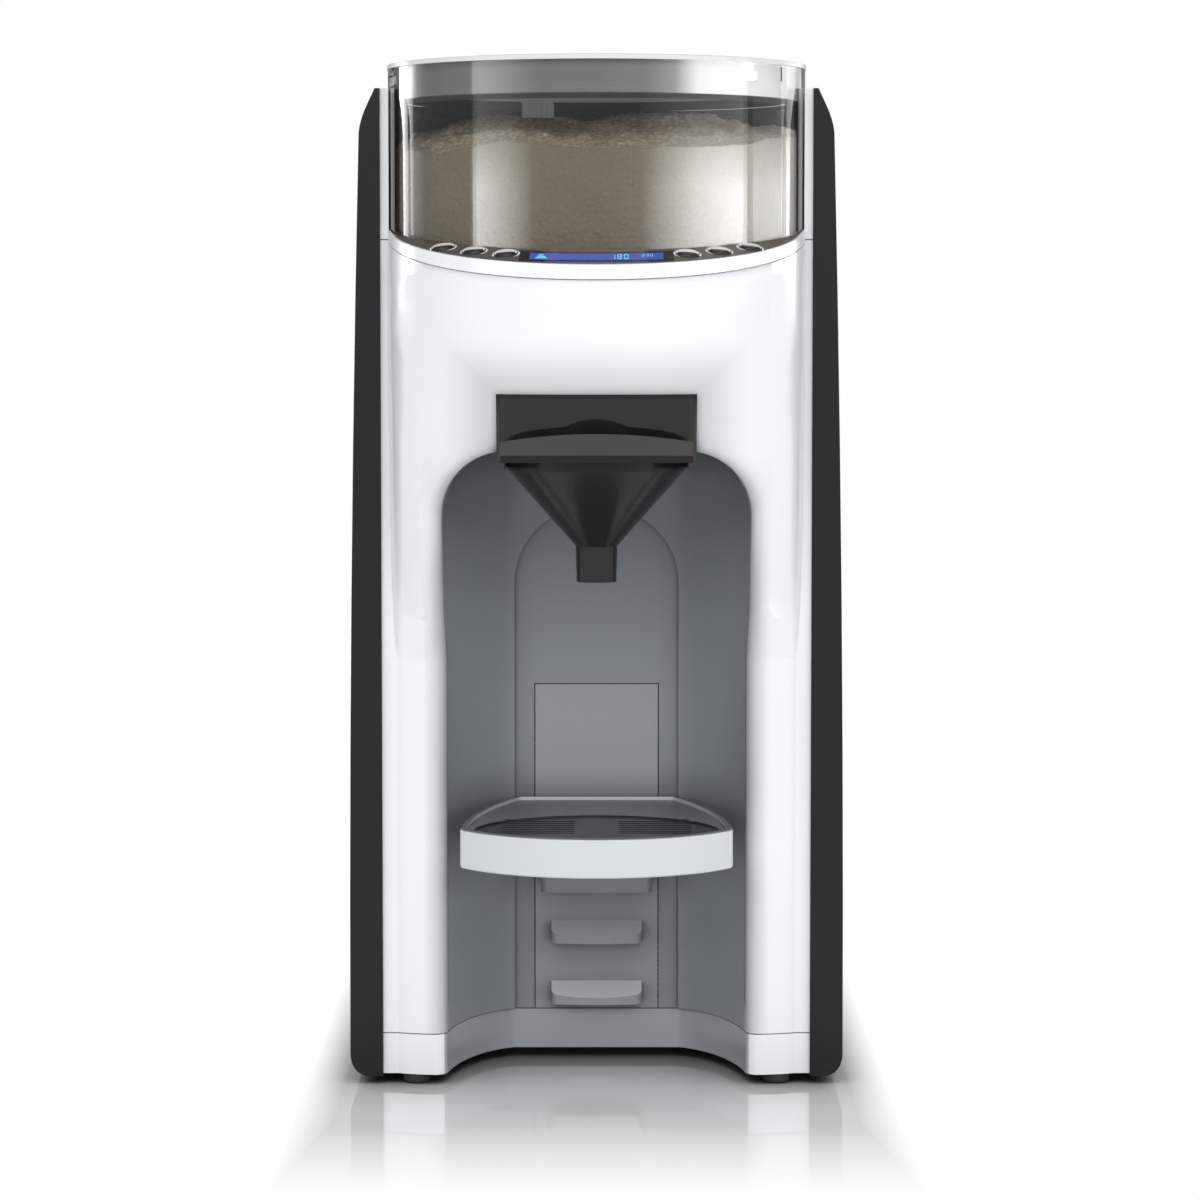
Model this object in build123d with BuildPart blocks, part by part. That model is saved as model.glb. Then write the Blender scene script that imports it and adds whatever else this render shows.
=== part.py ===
from build123d import *
from math import atan2, cos, pi, radians, sin, sqrt
import os

# Countertop baby formula maker. +Z is up, the user stands on the -Y side, and the origin is on the
# floor below the middle of the machine. All sizes are in millimetres.

os.makedirs("parts", exist_ok=True)

# How a shape is held by its place: standing on it or hanging below it
STANDING = (Align.CENTER, Align.CENTER, Align.MIN)
HANGING = (Align.CENTER, Align.CENTER, Align.MAX)

# ---- driving dimensions ------------------------------------------------------------------------

# Body: two legs around a bottle bay, swelling forward into the head
FOOT_HEIGHT = 3.9
FOOT_RADIUS = 5.0
BASE_TOP = 19.5
BASE_FLOOR = 3.0
BASE_CAVITY_FRONT = 2.0
BASE_SIDE_WALL = 4.0
FOOT_INSET = 9.0
FOOT_BACK_INSET = 20.0
FOOT_EDGE = 1.2
SEAM = 0.4
EDGE_MATCH = 0.02
SHELL_WALL = 2.6
LEG_STEP_IN = 3.8
HEAD_STEP_OUT = 0.3
FLANGE_STEP_OUT = 2.5
LEG_FRONT = -66.0
LEG_SIDE = -56.0
FLANGE_FRONT = -60.0
HEAD_FRONT = -145.0
HEAD_SIDE = -48.0
HEAD_ROUND = 0.60
LEG_ROUND = 0.90
SWELL_START = 165.0
SWELL_END = 312.0
SWELL_STEPS = 6
SWELL_POWER = 0.7
SPLIT_Y = -8.0
BACK = 141.0
HEAD_EXTRA = 45.0

# Seam below the rim and the rim itself, both dipping towards the front
SEAM_FRONT = 309.8
SEAM_TILT = 10.5
RIM_FRONT = 315.3
RIM_TILT = 9.5
RIM_WALL = 1.2
ARM_DROP = 7.1
ARM_WALL = 14.0
SEAT_LIP = 0.6

# Bottle bay
BAY_HALF = 58.4
BAY_TOP = 247.0
BAY_CORNER = 26.0
BAY_BACK_HALF = 33.0
BAY_BACK = -8.0
BAY_FRONT_LEAD = 2.4
BAY_SIDE_SHARE = 0.55
BAY_BACK_LEAD = 12.0
BAY_BACK_EASE = 6.0
BAY_RETURN = 9.5
BAY_EDGE_ROUND = 5.0
LEG_ROUND_SHARE = 4.0
LINER_WALL = 2.4
NICHE_HALF = 32.6
NICHE_TOP = 221.0
NICHE_DEPTH = 2.0
NICHE_CORNER = 30.6
PANEL_HALF = 24.4
PANEL_TOP = 150.0
PANEL_WALL = 2.0

# Tray ledges and drip tray
LEDGE_HALF = 18.0
LEDGE_HEIGHT = 8.4
LEDGE_REACH = 9.0
LEDGE_DROP = 5.6
LEDGE_BOW = 2.0
LEDGE_CORNER = 3.0
LEDGE_TOPS = (30.9, 55.4, 79.9)
TRAY_BOTTOM = 90.7
TRAY_TOP = 105.5
TRAY_FRONT = -136.0
TRAY_CORNER_Y = -108.0
TRAY_HALF = 51.0
TRAY_BACK_HALF = 33.0
TRAY_WALL = 2.4
TRAY_GAP = 0.4
TRAY_SIDE_Y = -64.0
TRAY_BACK_LEAD = 8.0
TRAY_BACK_EASE = 18.0
TRAY_ROUND = 6.0
TRAY_EDGE = 1.0
GRATE_WALL = 2.4
GRATE_DROP = 1.2
GRATE_RECESS = 0.8
GRATE_RECESS_BACK = -58.0
GRATE_SLOT = (28.0, 2.6)
GRATE_SLOT_GAP = 44.0
GRATE_SLOT_PITCH = 5.5
GRATE_SLOT_ROWS = 7
GRATE_FOOT_RADIUS = 2.2
GRATE_FEET_X = (-26.0, 0.0, 26.0)
GRATE_FEET_Y = (-112.0, -34.0)
GRATE_FIT = 0.1
SOCKET_HALF = 22.0
SOCKET_DEPTH = 20.0
SOCKET_WALL = 1.8
SLIDE_FIT = 0.35

# Side panels
PANEL_BOTTOM = 3.0
PANEL_FOOT_WALL = 12.7
PANEL_WAIST_WALL = 11.6
PANEL_SHOULDER_WALL = 8.0
PANEL_TOP_WALL = 1.9
PANEL_SHOULDER_DROP = 16.9
PANEL_FRONT = -62.0
PANEL_ROUND = 8.0
PANEL_FOOT_EASE = 1.0
PANEL_SHOULDER_EASE = (0.6, 7.0)
PANEL_TOP_EASE = (1.6, 4.0)

# Powder container, lid and dosing wheel, all about one upright axis
AXIS_Y = -46.0
JAR_RADIUS = 80.0
JAR_WALL = 2.2
JAR_FLOOR = 3.0
JAR_BOTTOM = 308.0
JAR_HEIGHT = 82.0
JAR_CORNER = 12.0
JAR_FIT = 0.5
LID_RISE = 3.2
LID_EDGE = 1.4
LID_CROWN_SHARE = 0.8
LID_FIT = 0.3
SKIRT_HEIGHT = 12.0
SKIRT_WALL = 2.5
SEAL_HEIGHT = 1.7
LUG_COUNT = 3
LUG_WIDTH = 6.0
LUG_HEIGHT = 3.0
LUG_DROP = 6.0
LUG_FIT = 0.5
LUG_OVERCUT = 1.0
LUG_SINK = 0.2
LUG_FIRST_ANGLE = -44.0
TWIST_DEGREES = 9.0
OUTLET_Y = -88.0
OUTLET_X_SIZE = 20.0
OUTLET_Y_SIZE = 15.0
OUTLET_INSET = 2.0
HUB_BORE = 10.0
HUB_RADIUS = 9.7
KEY_FLATS = 10.0
KEY_FIT = 0.3
WHEEL_RADIUS = 70.0
WHEEL_HEIGHT = 9.0
POCKET_COUNT = 10
POCKET_RADIUS = 8.5
SHAFT_RADIUS = 3.0
SHAFT_FIT = 0.06
POST_X = -23.5
POST_WIDTH = 13.0
POST_WALL = 4.0
POST_Y = 23.2
SCRAPER_WALL = 2.5
SCRAPER_LIFT = 9.0
SCRAPER_CUP_RADIUS = 15.3
POST_GAP = 1.2
WHEEL_RIM = 12.0
WHEEL_RIM_OVERLAP = 2.0
HUB_HEIGHT = 8.0
HUB_FLANGE = 4.0
HUB_END_GAP = 0.4
KEY_DEPTH = 7.0

# Control panel: a shallow cone about an axis that leans forward
BEZEL_LEAN = 7.0
BEZEL_SLOPE = 10.0
BEZEL_INNER_Z = 330.75
BEZEL_WALL = 2.2
BEZEL_REACH = 30.0
WINDOW_HALF = 28.2
WINDOW_WALL = 1.0
WINDOW_INNER = 3.0
WINDOW_OUTER = 16.0
DISPLAY_HALF = 24.3
DISPLAY_INNER = 5.5
DISPLAY_OUTER = 14.0
DISPLAY_WALL = 2.0
DISPLAY_POST_INSET = (1.0, 2.0)
DISPLAY_POST_HALF = 6.0
BOARD_DROP = 6.0
BOARD_WALL = 1.6
BOARD_INNER = 3.8
BOARD_HALF = 66.0
BUTTON_RADIUS = 4.2
BUTTON_FIT = 0.15
BUTTON_STAND = 0.9
BUTTON_GAP = 0.1
BUTTON_STEM_INSET = 1.5
BUTTON_EDGE = 0.8
BUTTON_TRAVEL = 0.7
BUTTON_PLACES = ((33.1, 88.4), (45.0, 87.4), (56.6, 86.1))
SWITCH_SIZE = 5.0
SWITCH_HEIGHT = 2.0

# Seat under the container, chute, drive
DECK_WALL = 3.5
CHUTE_WALL = 1.6
CHUTE_BOTTOM = 266.5
GEARBOX_RADIUS = 18.0
GEARBOX_HEIGHT = 15.0
SHAFT_END_GAP = (8.0, 6.0)
COUPLER_LIFT = 0.4
COUPLER_INSET = 0.6
KEY_REACH = 6.0
MOTOR_RADIUS = 14.0
MOTOR_HEIGHT = 20.0

# Funnel and its holder
SLOT_HALF = 36.8
SLOT_TOP = 268.3
SLOT_BOTTOM = 233.0
SLOT_BACK = -50.0
HOLDER_WALL = 0.9
HOLDER_FIT = 0.2
HOLDER_CHUTE_GAP = 0.5
HOLDER_FRONT = -124.0
RAIL_REACH = 1.8
RAIL_HEIGHT = 2.6
RAIL_TOP = 242.7
FUNNEL_RADIUS = 33.7
FUNNEL_RIM = 246.0
FUNNEL_SHOULDER = 239.4
SPOUT_TOP = 210.3
SPOUT_BOTTOM = 196.8
SPOUT_RADIUS = 7.9
FUNNEL_WALL = 1.6
FUNNEL_SPARE = 1.0
FUNNEL_BACK_MARGIN = 1.5
SPOUT_DRAFT = 0.4
LIP_TOP = 253.6
LIP_WALL = 2.0
LIP_BOW = 3.0
FUNNEL_BACK_RISE = 8.5
FUNNEL_DOME_RISE = 11.0
FUNNEL_DOME_RADIUS = 26.0
NOZZLE_X = 17.0
NOZZLE_Y = -74.0
NOZZLE_RADIUS = 3.0
NOZZLE_BORE = 1.5
NOZZLE_BOTTOM = 266.5
NOZZLE_COLLAR = 2.0
NOZZLE_STUB = 10.0

# Rear housing and water tank
REAR_WALL = 3.0
SPINE_Y = 79.0
SHELF_TOP = 176.0
SHELF_EXTRA = 1.0
ROOM_OVERLAP = 1.0
TANK_FIT = 0.5
TANK_WALL = 2.4
TANK_DROP = 0.9
TANK_BACK = 145.0
TANK_CORNER = 14.0
VALVE_Y = 112.0
VALVE_BORE = 6.0
VALVE_BOSS = 9.0
SEAT_COLLAR = 4.0
VALVE_DROP = 10.0
VALVE_LIFT = 2.0
TANK_LID_WALL = 3.0
HINGE_RADIUS = 3.0
HINGE_RISE = 3.5
HINGE_LUG = 12.0
HINGE_LUG_DEPTH = 4.0
TANK_LID_GAP = 1.0
GRIP_SLOT = (34.0, 12.0)
VALVE_DISC = 2.0
VALVE_RIM = 1.8
VALVE_PIN = 1.6
PIN_RADIUS = 1.5
PIN_OVERHANG = 5.0
PIN_FIT = 0.08
KNUCKLE = 22.0

# Works inside the body
PUMP_X = -38.0
PUMP_Y = 52.0
PUMP_RADIUS = 17.0
PUMP_LENGTH = 60.0
PUMP_HEAD_HALF = 18.7
PUMP_HEAD_HEIGHT = 14.0
PUMP_PORT = 8.0
HEATER_X = 34.0
HEATER_Y = 44.0
HEATER_RADIUS = 24.0
HEATER_HEIGHT = 110.0
HEATER_BAND_WALL = 1.5
HEATER_BAND_HEIGHT = 12.0
HOSE_RADIUS = 3.5
HOSE_BEND = 12.0
HOSE_LEVEL = 292.0
TANK_HOSE_LEVEL = 128.0
PUMP_HOSE_LEVEL = 145.0
MAIN_BOARD_SIZE = (110.0, 90.0)
MAIN_BOARD_Z = 80.0
STANDOFF = 5.0
STANDOFF_RADIUS = 3.0
STANDOFF_INSET = 5.0
BOARD_PARTS = ((-30.0, 20.0, 30.0, 22.0, 26.0), (12.0, 24.0, 20.0, 14.0, 16.0),
               (34.0, -10.0, 24.0, 6.0, 24.0), (-18.0, -24.0, 34.0, 4.0, 14.0))
SCREW_RADIUS = 1.6
SCREW_HEAD = 3.0
SCREW_HEAD_HEIGHT = 1.8
SCREW_FRONT_Y = 12.0
SCREW_BACK_INSET = 36.0
SCREW_LENGTH = 13.0
SCREW_FIT = 0.2
GLAND_X = 68.0
GLAND_Z = 32.0
GLAND_RADIUS = 8.0
GLAND_LENGTH = 3.8
GLAND_NECK = 6.0
GLAND_BORE = 4.0
VENT_COUNT = 8
VENT_PITCH = 9.0
VENT_SIZE = (88.0, 3.0)

# ---- shared planes and outlines ------------------------------------------------------------------

seam_plane = Plane(origin=(0, HEAD_FRONT, SEAM_FRONT), x_dir=(1, 0, 0),
                   z_dir=(0, -sin(radians(SEAM_TILT)), cos(radians(SEAM_TILT))))
rim_plane = Plane(origin=(0, HEAD_FRONT, RIM_FRONT), x_dir=(1, 0, 0),
                  z_dir=(0, -sin(radians(RIM_TILT)), cos(radians(RIM_TILT))))
lean = radians(BEZEL_LEAN)
slope = radians(BEZEL_SLOPE)
bezel_top = Plane(origin=(0, AXIS_Y, BEZEL_INNER_Z), x_dir=(1, 0, 0), z_dir=(0, -sin(lean), cos(lean)))
bezel_section = Plane(origin=(0, AXIS_Y, BEZEL_INNER_Z), x_dir=(1, 0, 0),
                      z_dir=(0, -cos(lean), -sin(lean)))
jar_section = Plane(origin=(0, AXIS_Y, 0), x_dir=(1, 0, 0), z_dir=(0, -1, 0))
funnel_section = Plane(origin=(0, OUTLET_Y, 0), x_dir=(1, 0, 0), z_dir=(0, -1, 0))
jar_axis = Axis((0, AXIS_Y, 0), (0, 0, 1))
funnel_axis = Axis((0, OUTLET_Y, 0), (0, 0, 1))
bezel_axis = Axis((0, AXIS_Y, BEZEL_INNER_Z), (0, -sin(lean), cos(lean)))

JAR_TOP = JAR_BOTTOM + JAR_HEIGHT
LID_TOP = JAR_TOP + LID_RISE
SKIRT_BOTTOM = JAR_TOP + LID_FIT - SKIRT_HEIGHT
ARM_TOP = JAR_TOP - ARM_DROP
PANEL_SHOULDER = ARM_TOP - PANEL_SHOULDER_DROP
FLANGE_HALF = JAR_RADIUS + FLANGE_STEP_OUT
HEAD_HALF = JAR_RADIUS + HEAD_STEP_OUT
LEG_HALF = FLANGE_HALF - LEG_STEP_IN
PANEL_FOOT_HALF = FLANGE_HALF + PANEL_FOOT_WALL
PANEL_WAIST_HALF = FLANGE_HALF + PANEL_WAIST_WALL
PANEL_SHOULDER_HALF = FLANGE_HALF + PANEL_SHOULDER_WALL
PANEL_TOP_HALF = FLANGE_HALF + PANEL_TOP_WALL
TANK_TOP = ARM_TOP - TANK_DROP
HINGE_Y = TANK_BACK - HINGE_RADIUS
HINGE_Z = TANK_TOP + HINGE_RISE
DECK_TOP = JAR_BOTTOM - LID_FIT
DECK_BOTTOM = DECK_TOP - DECK_WALL
SEAT_RADIUS = JAR_RADIUS + JAR_FIT
NICHE_BACK = BAY_BACK + NICHE_DEPTH
JAR_INNER = JAR_RADIUS - JAR_WALL
JAR_FLOOR_TOP = JAR_BOTTOM + JAR_FLOOR


def swell(height):
    """Share of the way from the legs' front to the head's front, rising smoothly with height."""
    share = min(max((height - SWELL_START) / (SWELL_END - SWELL_START), 0.0), 1.0)
    return sin(pi / 2 * share ** SWELL_POWER) ** 2


def body_outline(height, inset=0.0, back=SPLIT_Y):
    """Closed plan of the front body at one height, a wall thickness inside its outer face."""
    grown = swell(height)
    half = LEG_HALF + (HEAD_HALF - LEG_HALF) * grown - inset
    side = LEG_SIDE + (HEAD_SIDE - LEG_SIDE) * grown
    front = LEG_FRONT + (HEAD_FRONT - LEG_FRONT) * grown + inset
    flat = LEG_ROUND + (HEAD_ROUND - LEG_ROUND) * grown
    for mirror_x in (1, -1):
        Bezier((0, front), (mirror_x * half * flat, front),
               (mirror_x * half, side + (front - side) * HEAD_ROUND), (mirror_x * half, side))
    Polyline((half, side), (half, back), (-half, back), (-half, side))


def bay_outline(grow=0.0, back_shift=0.0):
    """Closed plan of the bottle bay: straight at the front, drawn in to a flat back."""
    back = BAY_BACK + back_shift
    half = BAY_HALF + grow
    back_half = BAY_BACK_HALF + grow / 2
    far = HEAD_FRONT - LEDGE_REACH
    for mirror_x in (1, -1):
        Bezier((mirror_x * half, LEG_FRONT),
               (mirror_x * (half - BAY_FRONT_LEAD), LEG_FRONT * BAY_SIDE_SHARE),
               (mirror_x * (back_half + BAY_BACK_LEAD), back - BAY_BACK_EASE),
               (mirror_x * back_half, back))
    Line((back_half, back), (-back_half, back))
    Polyline((half, LEG_FRONT), (half, far), (-half, far), (-half, LEG_FRONT))


def ring_profile(inner, outer, top, bottom):
    """Section of a conical ring on the control panel, top and bottom measured square to the cone."""
    fall_inner = (inner - SEAT_RADIUS) * sin(slope)
    fall_outer = (outer - SEAT_RADIUS) * sin(slope)
    Polyline((inner, top - fall_inner), (outer, top - fall_outer),
             (outer, bottom - fall_outer), (inner, bottom - fall_inner), close=True)


def button_plane(x_place, radius):
    """Plane on the control panel under one button, its Z square to the panel."""
    across = x_place / radius
    forward = -sqrt(1 - across ** 2)
    local_z = Vector(sin(slope) * across, sin(slope) * forward, cos(slope))
    point = Vector(radius * across, radius * forward, -(radius - SEAT_RADIUS) * sin(slope))
    origin = bezel_top.from_local_coords(point)
    normal = bezel_top.from_local_coords(local_z) - bezel_top.origin
    return Plane(origin=origin, x_dir=(1, 0, 0), z_dir=normal)


# ---- body volumes that the shells are cut from ---------------------------------------------------

LOFT_HEIGHTS = [SWELL_START + step * (SWELL_END - SWELL_START) / SWELL_STEPS
                for step in range(SWELL_STEPS + 1)]
HEAD_LIMIT = SWELL_END + HEAD_EXTRA


def body_volume(inset, bottom, back=SPLIT_Y):
    """The front body as one solid: a prism for the legs, a loft for the swell, a prism for the head."""
    with BuildPart() as volume:
        with BuildSketch(Plane.XY.offset(bottom)):
            with BuildLine():
                body_outline(bottom, inset, back)
            make_face()
        extrude(amount=SWELL_START - bottom)
        for height in LOFT_HEIGHTS:
            with BuildSketch(Plane.XY.offset(height)):
                with BuildLine():
                    body_outline(height, inset, back)
                make_face()
        loft()
        with BuildSketch(Plane.XY.offset(SWELL_END)):
            with BuildLine():
                body_outline(SWELL_END, inset, back)
            make_face()
        extrude(amount=HEAD_LIMIT - SWELL_END)
    return volume.part


outer_body = body_volume(0.0, BASE_TOP + SEAM)
inner_body = body_volume(SHELL_WALL, BASE_TOP, SPLIT_Y + SHELL_WALL)
rim_cavity = body_volume(RIM_WALL, BASE_TOP, SPLIT_Y + SHELL_WALL)

with BuildPart() as bay_space:
    with BuildSketch(Plane.XY):
        with BuildLine():
            bay_outline()
        make_face()
    extrude(amount=BAY_TOP)
    with BuildSketch(Plane.XZ.offset(-BAY_BACK), mode=Mode.PRIVATE) as bay_arch:
        RectangleRounded(2 * BAY_HALF, 2 * BAY_TOP, BAY_CORNER)
    extrude(bay_arch.sketch, amount=BAY_BACK - 2 * HEAD_FRONT, mode=Mode.INTERSECT)

with BuildPart() as bay_return:
    with BuildSketch(Plane.XY.offset(BASE_TOP)):
        with BuildLine():
            bay_outline(BAY_RETURN)
        make_face()
    extrude(amount=BAY_TOP + BAY_RETURN - BASE_TOP)
    with BuildSketch(Plane.XZ.offset(-BAY_BACK), mode=Mode.PRIVATE) as return_arch:
        RectangleRounded(2 * (BAY_HALF + BAY_RETURN), 2 * (BAY_TOP + BAY_RETURN), BAY_CORNER + BAY_RETURN)
    extrude(return_arch.sketch, amount=BAY_BACK - 2 * HEAD_FRONT, mode=Mode.INTERSECT)
    add(body_volume(BAY_RETURN, BASE_TOP), mode=Mode.SUBTRACT)

with BuildPart() as slot_space:
    with Locations((0, SLOT_BACK, SLOT_BOTTOM)):
        Box(2 * SLOT_HALF, SLOT_BACK - 2 * HEAD_FRONT, SLOT_TOP - SLOT_BOTTOM,
            align=(Align.CENTER, Align.MAX, Align.MIN))

# ---- feet and base -------------------------------------------------------------------------------

foot_x = LEG_HALF - FOOT_INSET
foot_places = [(side * foot_x, y) for side in (1, -1)
               for y in (LEG_FRONT + FOOT_INSET, BACK - FOOT_BACK_INSET)]
screw_places = [(side * foot_x, y) for side in (1, -1) for y in (SCREW_FRONT_Y, BACK - SCREW_BACK_INSET)]

with BuildPart() as feet:
    with Locations(*[(x, y, 0) for x, y in foot_places]):
        Cylinder(FOOT_RADIUS, FOOT_HEIGHT, align=STANDING)
    fillet(feet.edges().group_by(Axis.Z)[0], FOOT_EDGE)
feet.part.label = "feet"
export_step(feet.part, "parts/feet.step")

with BuildPart() as base:
    with BuildSketch(Plane.XY.offset(FOOT_HEIGHT)):
        with BuildLine():
            body_outline(BASE_TOP, 0.0, BACK)
        make_face()
        with Locations((0, FLANGE_FRONT)):
            Rectangle(2 * FLANGE_HALF, BACK - FLANGE_FRONT, align=(Align.CENTER, Align.MIN))
        with BuildLine():
            bay_outline(0.0, NICHE_DEPTH)
        make_face(mode=Mode.SUBTRACT)
    extrude(amount=BASE_TOP - FOOT_HEIGHT)
    with Locations((0, BASE_CAVITY_FRONT, FOOT_HEIGHT + BASE_FLOOR)):
        Box(2 * (FLANGE_HALF - BASE_SIDE_WALL), BACK - BASE_CAVITY_FRONT - REAR_WALL, BASE_TOP,
            align=(Align.CENTER, Align.MIN, Align.MIN), mode=Mode.SUBTRACT)
    with Locations(*[(x, y, FOOT_HEIGHT) for x, y in screw_places]):
        Cylinder(SCREW_RADIUS + SCREW_FIT, 4 * BASE_FLOOR, mode=Mode.SUBTRACT)
    upright = base.edges().filter_by(Axis.Z)
    inner_corners = upright.filter_by_position(Axis.X, -BAY_HALF - SEAM, BAY_HALF + SEAM)
    fillet(inner_corners.group_by(Axis.Y)[0], BAY_EDGE_ROUND)
base.part.label = "base"
export_step(base.part, "parts/base.step")

with BuildPart() as case_screws:
    for x, y in screw_places:
        with Locations((x, y, FOOT_HEIGHT)):
            Cylinder(SCREW_HEAD, SCREW_HEAD_HEIGHT, align=HANGING)
            Cylinder(SCREW_RADIUS, SCREW_LENGTH, align=STANDING)
case_screws.part.label = "case_screws"
export_step(case_screws.part, "parts/case_screws.step")

# ---- front shell, rim and side panels ------------------------------------------------------------

with BuildPart() as shell_hollow:
    add(inner_body)
    add(bay_return.part, mode=Mode.SUBTRACT)

outer_skin = outer_body.shell()
bay_skin = bay_space.part.shell()


def meets_bay(edge):
    """True for an edge where the bay's wall meets the outer face of the body, above the foot."""
    spot = edge @ 0.5
    return (spot.Z > 2 * BASE_TOP and outer_skin.distance_to(Vertex(spot)) < EDGE_MATCH
            and bay_skin.distance_to(Vertex(spot)) < EDGE_MATCH)


with BuildPart() as front_shell:
    add(outer_body)
    for side in (1, -1):
        with Locations((side * FLANGE_HALF, FLANGE_FRONT, BASE_TOP + SEAM)):
            Box(FLANGE_HALF - LEG_HALF + SHELL_WALL, SPLIT_Y - FLANGE_FRONT, HEAD_LIMIT - BASE_TOP - SEAM,
                align=(Align.MAX if side > 0 else Align.MIN, Align.MIN, Align.MIN))
    add(shell_hollow.part, mode=Mode.SUBTRACT)
    add(bay_space.part, mode=Mode.SUBTRACT)
    fillet([edge for edge in front_shell.edges() if meets_bay(edge)],
           min(BAY_EDGE_ROUND, (LEG_HALF - BAY_HALF) / LEG_ROUND_SHARE))
    add(slot_space.part, mode=Mode.SUBTRACT)
    with Locations((0, AXIS_Y, DECK_BOTTOM)):
        Cylinder(SEAT_RADIUS, ARM_TOP, align=STANDING, mode=Mode.SUBTRACT)
    split(bisect_by=seam_plane.offset(-SEAM / 2), keep=Keep.BOTTOM)
front_shell.part.label = "front_shell"
export_step(front_shell.part, "parts/front_shell.step")

with BuildPart() as top_rim:
    add(outer_body)
    add(rim_cavity, mode=Mode.SUBTRACT)
    split(bisect_by=rim_plane, keep=Keep.BOTTOM)
    for side in (1, -1):
        with Locations((side * FLANGE_HALF, FLANGE_FRONT, SWELL_END)):
            Box(ARM_WALL, SPLIT_Y - FLANGE_FRONT, ARM_TOP - SWELL_END,
                align=(Align.MAX if side > 0 else Align.MIN, Align.MIN, Align.MIN))
    with Locations((0, AXIS_Y, SWELL_START)):
        Cylinder(SEAT_RADIUS, ARM_TOP, align=STANDING, mode=Mode.SUBTRACT)
    split(bisect_by=seam_plane.offset(SEAM / 2), keep=Keep.TOP)
top_rim.part.label = "top_rim"
export_step(top_rim.part, "parts/top_rim.step")

for side, name in ((1, "side_panel_right"), (-1, "side_panel_left")):
    with BuildPart() as side_panel:
        with BuildSketch(Plane.XZ.offset(-PANEL_FRONT)):
            with BuildLine():
                Line((side * FLANGE_HALF, PANEL_BOTTOM),
                     (side * (PANEL_FOOT_HALF - PANEL_ROUND), PANEL_BOTTOM))
                Bezier((side * (PANEL_FOOT_HALF - PANEL_ROUND), PANEL_BOTTOM),
                       (side * (PANEL_FOOT_HALF - PANEL_FOOT_EASE), PANEL_BOTTOM),
                       (side * PANEL_FOOT_HALF, PANEL_BOTTOM + PANEL_ROUND))
                ThreePointArc((side * PANEL_FOOT_HALF, PANEL_BOTTOM + PANEL_ROUND),
                              (side * PANEL_WAIST_HALF, PANEL_SHOULDER / 2),
                              (side * PANEL_SHOULDER_HALF, PANEL_SHOULDER))
                Bezier((side * PANEL_SHOULDER_HALF, PANEL_SHOULDER),
                       (side * (PANEL_SHOULDER_HALF - PANEL_SHOULDER_EASE[0]),
                        PANEL_SHOULDER + PANEL_SHOULDER_EASE[1]),
                       (side * (PANEL_TOP_HALF + PANEL_TOP_EASE[0]), ARM_TOP - PANEL_TOP_EASE[1]),
                       (side * PANEL_TOP_HALF, ARM_TOP))
                Polyline((side * PANEL_TOP_HALF, ARM_TOP), (side * FLANGE_HALF, ARM_TOP),
                         (side * FLANGE_HALF, PANEL_BOTTOM))
            make_face()
        extrude(amount=PANEL_FRONT - BACK)
    side_panel.part.label = name
    export_step(side_panel.part, f"parts/{name}.step")

# ---- bottle bay: liner, ledge panel --------------------------------------------------------------

with BuildPart() as bay_liner:
    with BuildSketch(Plane.XY.offset(BASE_TOP + SEAM)):
        with BuildLine():
            bay_outline(LINER_WALL, LINER_WALL + NICHE_DEPTH)
        make_face()
    extrude(amount=BAY_TOP + LINER_WALL - BASE_TOP - SEAM)
    with BuildSketch(Plane.XZ.offset(-SPINE_Y), mode=Mode.PRIVATE) as liner_arch:
        RectangleRounded(2 * (BAY_HALF + LINER_WALL), 2 * (BAY_TOP + LINER_WALL), BAY_CORNER + LINER_WALL)
    extrude(liner_arch.sketch, amount=SPINE_Y - 2 * HEAD_FRONT, mode=Mode.INTERSECT)
    add(body_volume(BAY_RETURN, BASE_TOP, SPLIT_Y + SHELL_WALL), mode=Mode.INTERSECT)
    add(bay_space.part, mode=Mode.SUBTRACT)
    add(slot_space.part, mode=Mode.SUBTRACT)
    with BuildSketch(Plane.XZ.offset(-NICHE_BACK)):
        RectangleRounded(2 * NICHE_HALF, 2 * NICHE_TOP, NICHE_CORNER)
    extrude(amount=NICHE_DEPTH, mode=Mode.SUBTRACT)
    with Locations((0, NICHE_BACK, 0)):
        Box(2 * PANEL_HALF + 2 * SEAM, 4 * PANEL_WALL, 2 * PANEL_TOP + 2 * SEAM, mode=Mode.SUBTRACT)
bay_liner.part.label = "bay_liner"
export_step(bay_liner.part, "parts/bay_liner.step")


def ledge(top, grow=0.0):
    """One ledge of the panel: a bowed plan, its top sloping down to a short front edge."""
    half = LEDGE_HALF + grow
    front = NICHE_BACK - LEDGE_REACH - grow
    low = top - LEDGE_HEIGHT - grow
    with BuildPart() as wedge:
        with BuildSketch(Plane.XY.offset(low)):
            with BuildLine():
                Polyline((half, front + LEDGE_BOW), (half, NICHE_BACK), (-half, NICHE_BACK),
                         (-half, front + LEDGE_BOW))
                ThreePointArc((half, front + LEDGE_BOW), (0, front), (-half, front + LEDGE_BOW))
            make_face()
        extrude(amount=LEDGE_HEIGHT + 2 * grow)
        fillet(wedge.edges().filter_by(Axis.Z).group_by(Axis.Y)[0], LEDGE_CORNER)
        with BuildSketch(Plane.YZ.offset(-half)):
            Polygon((NICHE_BACK, low), (NICHE_BACK, top + grow), (front, top + grow - LEDGE_DROP),
                    (front, low), align=None)
        extrude(amount=2 * half, mode=Mode.INTERSECT)
    return wedge.part


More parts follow.
